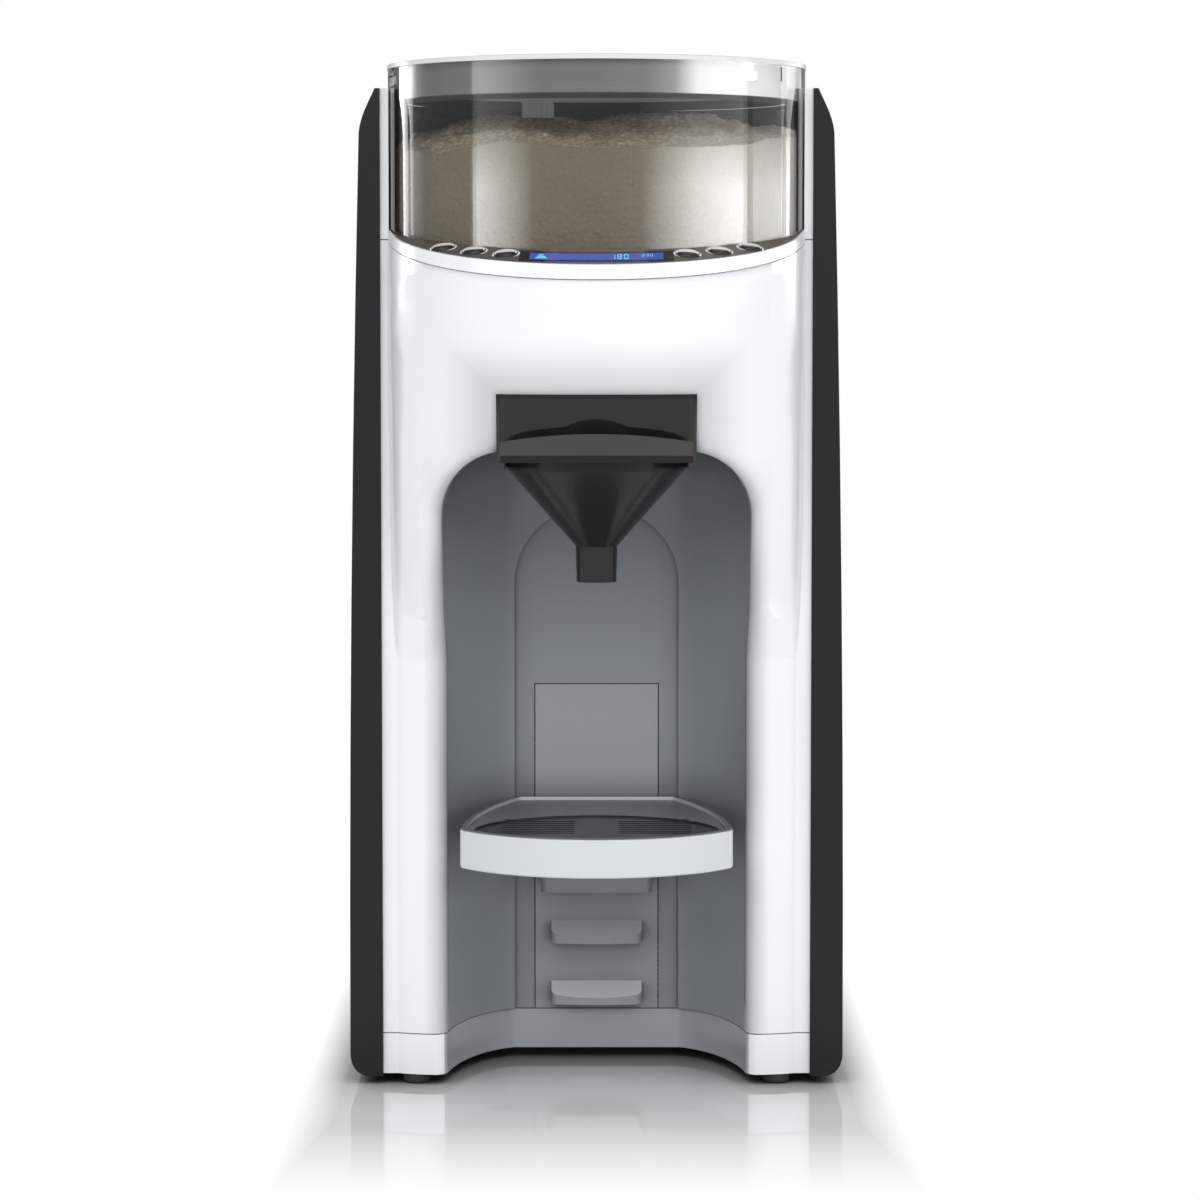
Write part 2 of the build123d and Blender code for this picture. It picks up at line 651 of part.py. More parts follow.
with BuildPart() as ledge_panel:
    with Locations((0, NICHE_BACK, BASE_TOP + SEAM)):
        Box(2 * PANEL_HALF, PANEL_WALL, PANEL_TOP - BASE_TOP - SEAM,
            align=(Align.CENTER, Align.MIN, Align.MIN))
    for top in LEDGE_TOPS:
        add(ledge(top))
ledge_panel.part.label = "ledge_panel"
export_step(ledge_panel.part, "parts/ledge_panel.step")

# ---- drip tray and grate -------------------------------------------------------------------------


def tray_plan(height, inset=0.0):
    """Plan of the drip tray at one height: bowed front, round corners, sides drawn in to the back."""
    half = TRAY_HALF - inset
    back_half = TRAY_BACK_HALF - inset - TRAY_GAP
    back = BAY_BACK - TRAY_GAP - inset
    with BuildSketch(Plane.XY.offset(height)) as plan:
        with BuildLine():
            ThreePointArc((half, TRAY_CORNER_Y), (0, TRAY_FRONT + inset), (-half, TRAY_CORNER_Y))
            for mirror_x in (1, -1):
                Bezier((mirror_x * half, TRAY_CORNER_Y), (mirror_x * half, TRAY_SIDE_Y),
                       (mirror_x * (back_half + TRAY_BACK_LEAD), back - TRAY_BACK_EASE),
                       (mirror_x * back_half, back))
            Line((back_half, back), (-back_half, back))
        make_face()
        fillet(plan.vertices().group_by(Axis.Y)[0], TRAY_ROUND - inset)
    return plan.sketch


with BuildPart() as drip_tray:
    extrude(tray_plan(TRAY_BOTTOM), amount=TRAY_TOP - TRAY_BOTTOM)
    fillet(drip_tray.edges().group_by(Axis.Z)[0] + drip_tray.edges().group_by(Axis.Z)[-1], TRAY_EDGE)
    extrude(tray_plan(TRAY_BOTTOM + TRAY_WALL, TRAY_WALL), amount=TRAY_TOP - TRAY_BOTTOM,
            mode=Mode.SUBTRACT)
drip_tray.part.label = "drip_tray"
export_step(drip_tray.part, "parts/drip_tray.step")

# bracket under the tray that slides over a ledge and carries it
with BuildPart() as tray_bracket:
    with Locations((0, BAY_BACK - TRAY_GAP, TRAY_BOTTOM)):
        Box(2 * SOCKET_HALF, SOCKET_DEPTH, TRAY_BOTTOM - LEDGE_TOPS[-1] + LEDGE_HEIGHT + SOCKET_WALL,
            align=(Align.CENTER, Align.MAX, Align.MAX))
    fillet(tray_bracket.edges().filter_by(Axis.Z).group_by(Axis.Y)[0], LEDGE_CORNER)
    add(ledge(LEDGE_TOPS[-1], SLIDE_FIT), mode=Mode.SUBTRACT)
tray_bracket.part.label = "tray_bracket"
export_step(tray_bracket.part, "parts/tray_bracket.step")

GRATE_TOP = TRAY_TOP - GRATE_DROP
with BuildPart() as tray_grate:
    extrude(tray_plan(GRATE_TOP - GRATE_WALL, TRAY_WALL + TRAY_GAP), amount=GRATE_WALL)
    with BuildSketch(Plane.XY.offset(GRATE_TOP)):
        with Locations((0, OUTLET_Y)):
            with GridLocations(GRATE_SLOT_GAP, GRATE_SLOT_PITCH, 2, GRATE_SLOT_ROWS):
                SlotOverall(*GRATE_SLOT)
    extrude(amount=-GRATE_WALL, mode=Mode.SUBTRACT)
    # shallow recess round the slots that the bottle stands in
    with BuildSketch(Plane.XY.offset(GRATE_TOP)):
        with BuildLine():
            recess_half = TRAY_HALF - 2 * TRAY_WALL
            ThreePointArc((recess_half, TRAY_CORNER_Y), (0, TRAY_FRONT + 2 * TRAY_WALL),
                          (-recess_half, TRAY_CORNER_Y))
            ThreePointArc((recess_half, TRAY_CORNER_Y), (0, GRATE_RECESS_BACK),
                          (-recess_half, TRAY_CORNER_Y))
        make_face()
    extrude(amount=-GRATE_RECESS, mode=Mode.SUBTRACT)
    # feet that stand on the tray's floor
    with Locations(*[(x, y, GRATE_TOP - GRATE_WALL) for x in GRATE_FEET_X for y in GRATE_FEET_Y]):
        Cylinder(GRATE_FOOT_RADIUS, GRATE_TOP - GRATE_WALL - TRAY_BOTTOM - TRAY_WALL - GRATE_FIT,
                 align=HANGING)
tray_grate.part.label = "tray_grate"
export_step(tray_grate.part, "parts/tray_grate.step")

# ---- control panel -------------------------------------------------------------------------------

button_planes = [button_plane(side * x, radius) for side in (-1, 1) for x, radius in BUTTON_PLACES]


def panel_ring(inner, outer, top, bottom, half_width):
    """A piece of the control panel's cone in front of the container, cut to a width."""
    with BuildPart() as ring:
        with BuildSketch(bezel_section):
            with BuildLine():
                ring_profile(SEAT_RADIUS + inner, SEAT_RADIUS + outer, top, bottom)
            make_face()
        revolve(axis=bezel_axis, revolution_arc=360)
        with Locations((0, AXIS_Y, BEZEL_INNER_Z)):
            Box(2 * half_width, JAR_RADIUS * 4, JAR_RADIUS * 2,
                align=(Align.CENTER, Align.MAX, Align.CENTER),
                mode=Mode.INTERSECT)
    return ring.part


window_opening = panel_ring(WINDOW_INNER, WINDOW_OUTER, BEZEL_WALL, -2 * BEZEL_WALL, WINDOW_HALF)

with BuildPart() as control_bezel:
    add(panel_ring(-BEZEL_WALL, BEZEL_REACH, 0.0, -BEZEL_WALL, FLANGE_HALF))
    add(rim_cavity, mode=Mode.INTERSECT)
    add(window_opening, mode=Mode.SUBTRACT)
    with Locations((0, AXIS_Y, DECK_TOP)):
        Cylinder(SEAT_RADIUS, JAR_TOP, align=STANDING, mode=Mode.SUBTRACT)
    for plane in button_planes:
        with BuildSketch(plane.offset(BUTTON_STAND)):
            Circle(BUTTON_RADIUS + BUTTON_FIT)
        extrude(amount=-4 * BEZEL_WALL, mode=Mode.SUBTRACT)
control_bezel.part.label = "control_bezel"
export_step(control_bezel.part, "parts/control_bezel.step")

with BuildPart() as display_window:
    add(panel_ring(WINDOW_INNER, WINDOW_OUTER, 0.0, -WINDOW_WALL, WINDOW_HALF))
display_window.part.label = "display_window"
export_step(display_window.part, "parts/display_window.step")

with BuildPart() as display_module:
    add(panel_ring(DISPLAY_INNER, DISPLAY_OUTER, -WINDOW_WALL, -WINDOW_WALL - DISPLAY_WALL, DISPLAY_HALF))
display_module.part.label = "display_module"
export_step(display_module.part, "parts/display_module.step")

BOARD_TOP = -BOARD_DROP
with BuildPart() as control_board:
    add(panel_ring(BOARD_INNER, BEZEL_REACH, BOARD_TOP, BOARD_TOP - BOARD_WALL, BOARD_HALF))
    add(inner_body, mode=Mode.INTERSECT)
    for plane in button_planes:
        with BuildSketch(plane.offset(BOARD_TOP)):
            Rectangle(SWITCH_SIZE, SWITCH_SIZE)
        extrude(amount=SWITCH_HEIGHT)
    # post that carries the display
    add(panel_ring(DISPLAY_INNER + DISPLAY_POST_INSET[0], DISPLAY_OUTER - DISPLAY_POST_INSET[1],
                   -WINDOW_WALL - DISPLAY_WALL, BOARD_TOP, DISPLAY_POST_HALF))
control_board.part.label = "control_board"
export_step(control_board.part, "parts/control_board.step")

for number, plane in enumerate(button_planes, start=1):
    with BuildPart() as button:
        with BuildSketch(plane.offset(BOARD_TOP + SWITCH_HEIGHT + BUTTON_TRAVEL + BUTTON_GAP)):
            Circle(BUTTON_RADIUS - BUTTON_STEM_INSET)
        extrude(amount=-BOARD_TOP - SWITCH_HEIGHT - BUTTON_TRAVEL - BUTTON_GAP - BEZEL_WALL)
        with BuildSketch(plane.offset(-BEZEL_WALL)):
            Circle(BUTTON_RADIUS)
        extrude(amount=BEZEL_WALL + BUTTON_STAND)
        outward = Axis(plane.origin, plane.z_dir)
        fillet(button.edges().filter_by(GeomType.CIRCLE).sort_by(outward)[-1], BUTTON_EDGE)
    button.part.label = f"button_{number}"
    export_step(button.part, f"parts/button_{number}.step")

# ---- seat under the container with its powder chute ----------------------------------------------

with BuildPart() as container_seat:
    with BuildSketch(Plane.XY.offset(DECK_BOTTOM)):
        with BuildLine():
            body_outline(DECK_BOTTOM, SHELL_WALL)
        make_face()
        with Locations((0, AXIS_Y)):
            Circle(SEAT_RADIUS - SEAM)
    extrude(amount=DECK_WALL)
    add(inner_body, mode=Mode.INTERSECT)
    with BuildSketch(Plane.XY.offset(DECK_BOTTOM)):
        with Locations((0, AXIS_Y)):
            Circle(SEAT_RADIUS - SEAM)
    extrude(amount=DECK_WALL)
    # lip round the front that backs the control panel's inner edge
    with BuildPart(mode=Mode.PRIVATE) as seat_lip:
        with BuildSketch(Plane.XY.offset(DECK_BOTTOM)):
            with Locations((0, AXIS_Y)):
                Circle(SEAT_RADIUS + SEAT_LIP)
                Circle(SEAT_RADIUS, mode=Mode.SUBTRACT)
        extrude(amount=BEZEL_INNER_Z - BEZEL_WALL - DECK_BOTTOM)
        add(inner_body, mode=Mode.INTERSECT)
        split(bisect_by=Plane.XZ.offset(-FLANGE_FRONT), keep=Keep.TOP)
    add(seat_lip.part)
    split(bisect_by=bezel_top.offset(-BEZEL_WALL - SEAM), keep=Keep.BOTTOM)
    with Locations((0, OUTLET_Y, CHUTE_BOTTOM)):
        Box(OUTLET_X_SIZE + 2 * CHUTE_WALL, OUTLET_Y_SIZE + 2 * CHUTE_WALL, DECK_TOP - CHUTE_BOTTOM,
            align=STANDING)
        Box(OUTLET_X_SIZE, OUTLET_Y_SIZE, DECK_TOP - CHUTE_BOTTOM,
            align=STANDING, mode=Mode.SUBTRACT)
    with Locations((0, AXIS_Y, DECK_BOTTOM)):
        Cylinder(HUB_RADIUS, 4 * DECK_WALL, mode=Mode.SUBTRACT)
    # room for the pressed buttons in the lip
    for plane in button_planes:
        with BuildSketch(plane):
            Circle(BUTTON_RADIUS + 2 * BUTTON_FIT)
        extrude(amount=-BEZEL_WALL - BUTTON_TRAVEL - 2 * BUTTON_FIT, mode=Mode.SUBTRACT)
container_seat.part.label = "container_seat"
export_step(container_seat.part, "parts/container_seat.step")

# ---- drive: gear motor, shaft, coupler -----------------------------------------------------------

with BuildPart() as gear_motor:
    with Locations((0, AXIS_Y, DECK_BOTTOM)):
        Cylinder(GEARBOX_RADIUS, GEARBOX_HEIGHT, align=HANGING)
        Cylinder(SHAFT_RADIUS + SHAFT_FIT, 2 * GEARBOX_HEIGHT - SHAFT_END_GAP[0], mode=Mode.SUBTRACT)
    with Locations((0, AXIS_Y, DECK_BOTTOM - GEARBOX_HEIGHT)):
        Cylinder(MOTOR_RADIUS, MOTOR_HEIGHT, align=HANGING)
gear_motor.part.label = "gear_motor"
export_step(gear_motor.part, "parts/gear_motor.step")

COUPLER_TOP = DECK_TOP - LID_FIT
with BuildPart() as drive_coupler:
    with Locations((0, AXIS_Y, DECK_BOTTOM + COUPLER_LIFT)):
        Cylinder(HUB_RADIUS - COUPLER_INSET, COUPLER_TOP - DECK_BOTTOM - COUPLER_LIFT, align=STANDING)
    with BuildSketch(Plane.XY.offset(COUPLER_TOP)):
        with Locations((0, AXIS_Y)):
            RegularPolygon(KEY_FLATS / 2, 6, major_radius=False)
    extrude(amount=JAR_FLOOR_TOP + KEY_REACH - COUPLER_TOP)
    with Locations((0, AXIS_Y, DECK_BOTTOM + COUPLER_LIFT)):
        Cylinder(SHAFT_RADIUS, GEARBOX_HEIGHT - SHAFT_END_GAP[1], align=HANGING)
drive_coupler.part.label = "drive_coupler"
export_step(drive_coupler.part, "parts/drive_coupler.step")

# ---- powder container with dosing wheel and scraper ----------------------------------------------

lug_angles = [LUG_FIRST_ANGLE + 360.0 / LUG_COUNT * step for step in range(LUG_COUNT)]
LUG_TOP = JAR_TOP - LUG_DROP + LUG_HEIGHT
LUG_MID_RADIUS = JAR_RADIUS - JAR_WALL / 2


def slot_arc(width_degrees, start, size_z, bottom):
    """Cutter for a stretch of the container's wall, from one angle round by another."""
    with BuildPart() as cutter:
        with BuildSketch(jar_section):
            with Locations((LUG_MID_RADIUS, bottom + size_z / 2)):
                Rectangle(JAR_WALL * 2, size_z)
        revolve(axis=jar_axis, revolution_arc=width_degrees)
    return cutter.part.rotate(jar_axis, start)


lug_degrees = LUG_WIDTH / JAR_RADIUS * 180 / pi
fit_degrees = LUG_FIT / JAR_RADIUS * 180 / pi
entry_cut = slot_arc(lug_degrees + 2 * fit_degrees, -lug_degrees / 2 - fit_degrees,
                     LUG_DROP + LUG_FIT + LUG_OVERCUT, JAR_TOP - LUG_DROP - LUG_FIT)
lock_cut = slot_arc(lug_degrees + TWIST_DEGREES + 2 * fit_degrees,
                    -lug_degrees / 2 - fit_degrees - TWIST_DEGREES,
                    LUG_HEIGHT + 2 * LUG_FIT, JAR_TOP - LUG_DROP - LUG_FIT)

with BuildPart() as powder_container:
    with BuildSketch(jar_section):
        with BuildLine():
            Polyline((HUB_BORE, JAR_BOTTOM), (JAR_RADIUS - JAR_CORNER, JAR_BOTTOM))
            RadiusArc((JAR_RADIUS - JAR_CORNER, JAR_BOTTOM), (JAR_RADIUS, JAR_BOTTOM + JAR_CORNER),
                      -JAR_CORNER)
            Polyline((JAR_RADIUS, JAR_BOTTOM + JAR_CORNER), (JAR_RADIUS, JAR_TOP), (JAR_INNER, JAR_TOP),
                     (JAR_INNER, JAR_BOTTOM + JAR_CORNER))
            RadiusArc((JAR_INNER, JAR_BOTTOM + JAR_CORNER),
                      (JAR_INNER - JAR_CORNER + JAR_FLOOR, JAR_FLOOR_TOP), JAR_CORNER - JAR_FLOOR)
            Polyline((JAR_INNER - JAR_CORNER + JAR_FLOOR, JAR_FLOOR_TOP), (HUB_BORE, JAR_FLOOR_TOP),
                     (HUB_BORE, JAR_BOTTOM))
        make_face()
    revolve(axis=jar_axis, revolution_arc=360)
    for angle in lug_angles:
        add(entry_cut.rotate(jar_axis, angle), mode=Mode.SUBTRACT)
        add(lock_cut.rotate(jar_axis, angle), mode=Mode.SUBTRACT)
    with Locations((0, OUTLET_Y, JAR_BOTTOM)):
        Box(OUTLET_X_SIZE - OUTLET_INSET, OUTLET_Y_SIZE - OUTLET_INSET, 4 * JAR_FLOOR, mode=Mode.SUBTRACT)
powder_container.part.label = "powder_container"
export_step(powder_container.part, "parts/powder_container.step")

WHEEL_BOTTOM = JAR_FLOOR_TOP + LID_FIT
WHEEL_TOP = WHEEL_BOTTOM + WHEEL_HEIGHT
with BuildPart() as dosing_wheel:
    with Locations((0, AXIS_Y, WHEEL_BOTTOM)):
        Cylinder(WHEEL_RADIUS - WHEEL_RIM + WHEEL_RIM_OVERLAP, WHEEL_HEIGHT, align=STANDING)
        Cylinder(HUB_RADIUS + HUB_FLANGE, WHEEL_HEIGHT + HUB_HEIGHT, align=STANDING)
        Cylinder(HUB_RADIUS, JAR_FLOOR + LID_FIT - HUB_END_GAP, align=HANGING)
    with BuildSketch(Plane.XY.offset(WHEEL_BOTTOM)):
        with Locations((0, AXIS_Y)):
            with PolarLocations(AXIS_Y - OUTLET_Y, POCKET_COUNT, start_angle=-90):
                Circle(POCKET_RADIUS)
    extrude(amount=WHEEL_HEIGHT, mode=Mode.SUBTRACT)
    with BuildSketch(Plane.XY.offset(JAR_BOTTOM)):
        with Locations((0, AXIS_Y)):
            RegularPolygon(KEY_FLATS / 2 + KEY_FIT, 6, major_radius=False)
    extrude(amount=JAR_FLOOR + KEY_DEPTH, mode=Mode.SUBTRACT)
dosing_wheel.part.label = "dosing_wheel"
export_step(dosing_wheel.part, "parts/dosing_wheel.step")

SCRAPER_BOTTOM = WHEEL_TOP + SCRAPER_LIFT
arm_turn = atan2(-POST_X, POST_Y - AXIS_Y) * 180 / pi
with BuildPart() as scraper:
    with BuildSketch(Plane.XY.offset(SCRAPER_BOTTOM)):
        with Locations((0, AXIS_Y)):
            Circle(HUB_RADIUS)
        with Locations((0, OUTLET_Y)):
            Circle(SCRAPER_CUP_RADIUS)
        with Locations((POST_X / 2, (POST_Y + AXIS_Y) / 2)):
            Rectangle(POST_WALL * 2, POST_Y - AXIS_Y, rotation=arm_turn)
        with Locations((0, (AXIS_Y + OUTLET_Y) / 2)):
            Rectangle(POST_WALL * 3, AXIS_Y - OUTLET_Y)
    extrude(amount=SCRAPER_WALL)
    with BuildSketch(Plane.XY.offset(WHEEL_TOP + LID_FIT)):
        with Locations((0, OUTLET_Y)):
            Circle(SCRAPER_CUP_RADIUS)
            Circle(SCRAPER_CUP_RADIUS - SCRAPER_WALL, mode=Mode.SUBTRACT)
    extrude(amount=SCRAPER_BOTTOM - WHEEL_TOP - LID_FIT)
    with Locations((POST_X, POST_Y, SCRAPER_BOTTOM)):
        Box(POST_WIDTH, POST_WALL, SKIRT_BOTTOM - SEAL_HEIGHT - POST_GAP - SCRAPER_BOTTOM,
            align=STANDING)
scraper.part.label = "scraper"
export_step(scraper.part, "parts/scraper.step")

# ---- lid: cover, skirt with lugs, seal -----------------------------------------------------------

with BuildPart() as lid:
    with BuildSketch(jar_section):
        with BuildLine():
            Line((0, JAR_TOP + LID_FIT), (JAR_RADIUS + LID_FIT, JAR_TOP + LID_FIT))
            Line((JAR_RADIUS + LID_FIT, JAR_TOP + LID_FIT), (JAR_RADIUS + LID_FIT, LID_TOP - LID_EDGE))
            Bezier((JAR_RADIUS + LID_FIT, LID_TOP - LID_EDGE),
                   (JAR_RADIUS + LID_FIT, LID_TOP - LID_EDGE / 2),
                   (JAR_RADIUS * LID_CROWN_SHARE, LID_TOP), (0, LID_TOP))
            Line((0, LID_TOP), (0, JAR_TOP + LID_FIT))
        make_face()
    revolve(axis=jar_axis, revolution_arc=360)
lid.part.label = "lid"
export_step(lid.part, "parts/lid.step")

SKIRT_RADIUS = JAR_INNER - LID_FIT
with BuildPart() as lid_skirt:
    with Locations((0, AXIS_Y, SKIRT_BOTTOM)):
        Cylinder(SKIRT_RADIUS, JAR_TOP + LID_FIT - SKIRT_BOTTOM, align=STANDING)
        Cylinder(SKIRT_RADIUS - SKIRT_WALL, JAR_TOP + LID_FIT - SKIRT_BOTTOM,
                 align=STANDING, mode=Mode.SUBTRACT)
    for angle in lug_angles:
        with BuildSketch(Plane.XY.offset(LUG_TOP - LUG_HEIGHT)):
            with Locations((0, AXIS_Y)):
                with PolarLocations(SKIRT_RADIUS - LUG_SINK, 1, start_angle=angle):
                    Rectangle(JAR_WALL, LUG_WIDTH, align=(Align.MIN, Align.CENTER))
        extrude(amount=LUG_HEIGHT)
lid_skirt.part.label = "lid_skirt"
export_step(lid_skirt.part, "parts/lid_skirt.step")

with BuildPart() as lid_seal:
    with Locations((0, AXIS_Y, SKIRT_BOTTOM - LID_FIT)):
        Cylinder(SKIRT_RADIUS, SEAL_HEIGHT, align=HANGING)
        Cylinder(SKIRT_RADIUS - SKIRT_WALL, SEAL_HEIGHT, align=HANGING, mode=Mode.SUBTRACT)
lid_seal.part.label = "lid_seal"
export_step(lid_seal.part, "parts/lid_seal.step")

# ---- funnel holder, funnel, water nozzle ---------------------------------------------------------

HOLDER_HALF = SLOT_HALF - HOLDER_FIT
HOLDER_TOP = SLOT_TOP - HOLDER_FIT
HOLDER_BOTTOM = RAIL_TOP - RAIL_HEIGHT
HOLDER_INNER = HOLDER_HALF - HOLDER_WALL
with BuildPart() as funnel_holder:
    with Locations((0, SLOT_BACK, HOLDER_BOTTOM)):
        Box(2 * HOLDER_HALF, SLOT_BACK - HOLDER_FRONT, HOLDER_TOP - HOLDER_BOTTOM,
            align=(Align.CENTER, Align.MAX, Align.MIN))
    with Locations((0, SLOT_BACK - 2 * HOLDER_WALL, HOLDER_BOTTOM)):
        Box(2 * HOLDER_INNER, SLOT_BACK - HOLDER_FRONT, HOLDER_TOP - 2 * HOLDER_WALL - HOLDER_BOTTOM,
            align=(Align.CENTER, Align.MAX, Align.MIN), mode=Mode.SUBTRACT)
    for side in (1, -1):
        with Locations((side * HOLDER_INNER, SLOT_BACK, RAIL_TOP)):
            Box(RAIL_REACH, SLOT_BACK - HOLDER_FRONT, RAIL_HEIGHT,
                align=(Align.MAX if side > 0 else Align.MIN, Align.MAX, Align.MAX))
    add(outer_body, mode=Mode.INTERSECT)
    with Locations((0, OUTLET_Y, HOLDER_TOP)):
        Box(OUTLET_X_SIZE + 2 * (CHUTE_WALL + HOLDER_CHUTE_GAP),
            OUTLET_Y_SIZE + 2 * (CHUTE_WALL + HOLDER_CHUTE_GAP), 8 * HOLDER_WALL,
            mode=Mode.SUBTRACT)
    with Locations((NOZZLE_X, NOZZLE_Y, HOLDER_TOP)):
        Cylinder(NOZZLE_RADIUS, 8 * HOLDER_WALL, mode=Mode.SUBTRACT)
funnel_holder.part.label = "funnel_holder"
export_step(funnel_holder.part, "parts/funnel_holder.step")

FLANGE_BOTTOM = RAIL_TOP + LID_FIT
FUNNEL_HALF = HOLDER_INNER - HOLDER_FIT
FUNNEL_BACK = OUTLET_Y + FUNNEL_RADIUS + FUNNEL_BACK_MARGIN
with BuildPart() as funnel_rim:
    with BuildSketch(Plane.XY.offset(FUNNEL_RIM - FUNNEL_WALL)):
        with Locations((0, OUTLET_Y)):
            Circle(FUNNEL_RADIUS)
            Circle(FUNNEL_RADIUS - FUNNEL_WALL, mode=Mode.SUBTRACT)
    extrude(amount=FUNNEL_WALL + FUNNEL_DOME_RISE)
    with BuildPart(mode=Mode.PRIVATE) as rim_limit:
        with BuildSketch(Plane.YZ.offset(-FUNNEL_RADIUS)):
            Polygon((OUTLET_Y - FUNNEL_RADIUS - FUNNEL_SPARE, FUNNEL_RIM),
                    (OUTLET_Y - FUNNEL_RADIUS - FUNNEL_SPARE, FUNNEL_RIM - FUNNEL_WALL),
                    (OUTLET_Y + FUNNEL_RADIUS + FUNNEL_SPARE, FUNNEL_RIM - FUNNEL_WALL),
                    (OUTLET_Y + FUNNEL_RADIUS + FUNNEL_SPARE, FUNNEL_RIM + FUNNEL_BACK_RISE), align=None)
        extrude(amount=2 * FUNNEL_RADIUS)
        with BuildSketch(funnel_section):
            with Locations((0, FUNNEL_RIM + FUNNEL_DOME_RISE - FUNNEL_DOME_RADIUS)):
                Circle(FUNNEL_DOME_RADIUS)
        extrude(amount=-FUNNEL_RADIUS)
    add(rim_limit.part, mode=Mode.INTERSECT)

with BuildPart() as funnel:
    with BuildSketch(Plane.XY.offset(FLANGE_BOTTOM)):
        with Locations((0, FUNNEL_BACK)):
            Rectangle(2 * FUNNEL_HALF, FUNNEL_BACK - HOLDER_FRONT, align=(Align.CENTER, Align.MAX))
    extrude(amount=FUNNEL_RIM - FLANGE_BOTTOM)
    # upright front lip, bowed along its top
    with BuildSketch(Plane.XZ.offset(-HOLDER_FRONT)):
        with BuildLine():
            Polyline((-FUNNEL_HALF, LIP_TOP - LIP_BOW), (-FUNNEL_HALF, FLANGE_BOTTOM),
                     (FUNNEL_HALF, FLANGE_BOTTOM),
                     (FUNNEL_HALF, LIP_TOP - LIP_BOW))
            ThreePointArc((FUNNEL_HALF, LIP_TOP - LIP_BOW), (0, LIP_TOP),
                          (-FUNNEL_HALF, LIP_TOP - LIP_BOW))
        make_face()
    extrude(amount=LIP_WALL)
    with BuildSketch(funnel_section):
        with BuildLine():
            Polyline((0, FUNNEL_RIM), (FUNNEL_RADIUS, FUNNEL_RIM), (FUNNEL_RADIUS, FUNNEL_SHOULDER),
                     (SPOUT_RADIUS, SPOUT_TOP), (SPOUT_RADIUS - SPOUT_DRAFT, SPOUT_BOTTOM),
                     (0, SPOUT_BOTTOM), close=True)
        make_face()
    revolve(axis=funnel_axis, revolution_arc=360)
    with BuildSketch(funnel_section):
        with BuildLine():
            Polyline((0, FUNNEL_RIM + FUNNEL_SPARE),
                     (FUNNEL_RADIUS - FUNNEL_WALL, FUNNEL_RIM + FUNNEL_SPARE),
                     (FUNNEL_RADIUS - FUNNEL_WALL, FUNNEL_SHOULDER),
                     (SPOUT_RADIUS - FUNNEL_WALL, SPOUT_TOP),
                     (SPOUT_RADIUS - FUNNEL_WALL - SPOUT_DRAFT, SPOUT_BOTTOM - FUNNEL_SPARE),
                     (0, SPOUT_BOTTOM - FUNNEL_SPARE), close=True)
        make_face()
    revolve(axis=funnel_axis, revolution_arc=360, mode=Mode.SUBTRACT)
    add(funnel_rim.part)
funnel.part.label = "funnel"
export_step(funnel.part, "parts/funnel.step")

with BuildPart() as water_nozzle:
    with Locations((NOZZLE_X, NOZZLE_Y, NOZZLE_BOTTOM)):
        Cylinder(NOZZLE_RADIUS, HOLDER_TOP + NOZZLE_STUB - NOZZLE_BOTTOM, align=STANDING)
        Cylinder(NOZZLE_BORE, HOLDER_TOP - NOZZLE_BOTTOM, align=STANDING, mode=Mode.SUBTRACT)
    with Locations((NOZZLE_X, NOZZLE_Y, HOLDER_TOP)):
        Cylinder(NOZZLE_RADIUS + NOZZLE_COLLAR, NOZZLE_COLLAR, align=STANDING)
water_nozzle.part.label = "water_nozzle"
export_step(water_nozzle.part, "parts/water_nozzle.step")

# ---- rear housing --------------------------------------------------------------------------------

SHELF_BOTTOM = SHELF_TOP - REAR_WALL - SHELF_EXTRA
with BuildPart() as rear_housing:
    with Locations((0, SPLIT_Y + SEAM, BASE_TOP + SEAM)):
        Box(2 * FLANGE_HALF, BACK - SPLIT_Y - SEAM, ARM_TOP - BASE_TOP - SEAM,
            align=(Align.CENTER, Align.MIN, Align.MIN))
    # room for the works, closed above by the block that wraps the container
    with BuildPart(mode=Mode.PRIVATE) as works_room:
        with Locations((0, SPLIT_Y, 0)):
            Box(2 * (FLANGE_HALF - REAR_WALL), SPINE_Y - SPLIT_Y, ARM_TOP - REAR_WALL,
                align=(Align.CENTER, Align.MIN, Align.MIN))
        with Locations((0, AXIS_Y, DECK_BOTTOM - REAR_WALL)):
            Cylinder(SEAT_RADIUS + REAR_WALL, ARM_TOP, align=STANDING, mode=Mode.SUBTRACT)
        with Locations((0, SPINE_Y - ROOM_OVERLAP, 0)):
            Box(2 * (FLANGE_HALF - REAR_WALL), BACK - SPINE_Y + ROOM_OVERLAP - REAR_WALL, SHELF_BOTTOM,
                align=(Align.CENTER, Align.MIN, Align.MIN))
    add(works_room.part, mode=Mode.SUBTRACT)
    with Locations((0, AXIS_Y, DECK_BOTTOM)):
        Cylinder(SEAT_RADIUS, ARM_TOP, align=STANDING, mode=Mode.SUBTRACT)
    with Locations((0, SPINE_Y + REAR_WALL, SHELF_TOP)):
        Box(2 * (FLANGE_HALF - REAR_WALL), BACK, ARM_TOP, align=(Align.CENTER, Align.MIN, Align.MIN),
            mode=Mode.SUBTRACT)
    with Locations((0, VALVE_Y, SHELF_BOTTOM)):
        Cylinder(VALVE_BOSS + TANK_FIT, 8 * REAR_WALL, mode=Mode.SUBTRACT)
    with Locations((GLAND_X, BACK, GLAND_Z)):
        Cylinder(GLAND_NECK, 4 * REAR_WALL, rotation=(90, 0, 0), mode=Mode.SUBTRACT)
    with BuildSketch(Plane.XZ.offset(-BACK)):
        with Locations((0, MAIN_BOARD_Z)):
            with GridLocations(0, VENT_PITCH, 1, VENT_COUNT):
                SlotOverall(*VENT_SIZE)
    extrude(amount=2 * REAR_WALL, mode=Mode.SUBTRACT)
rear_housing.part.label = "rear_housing"
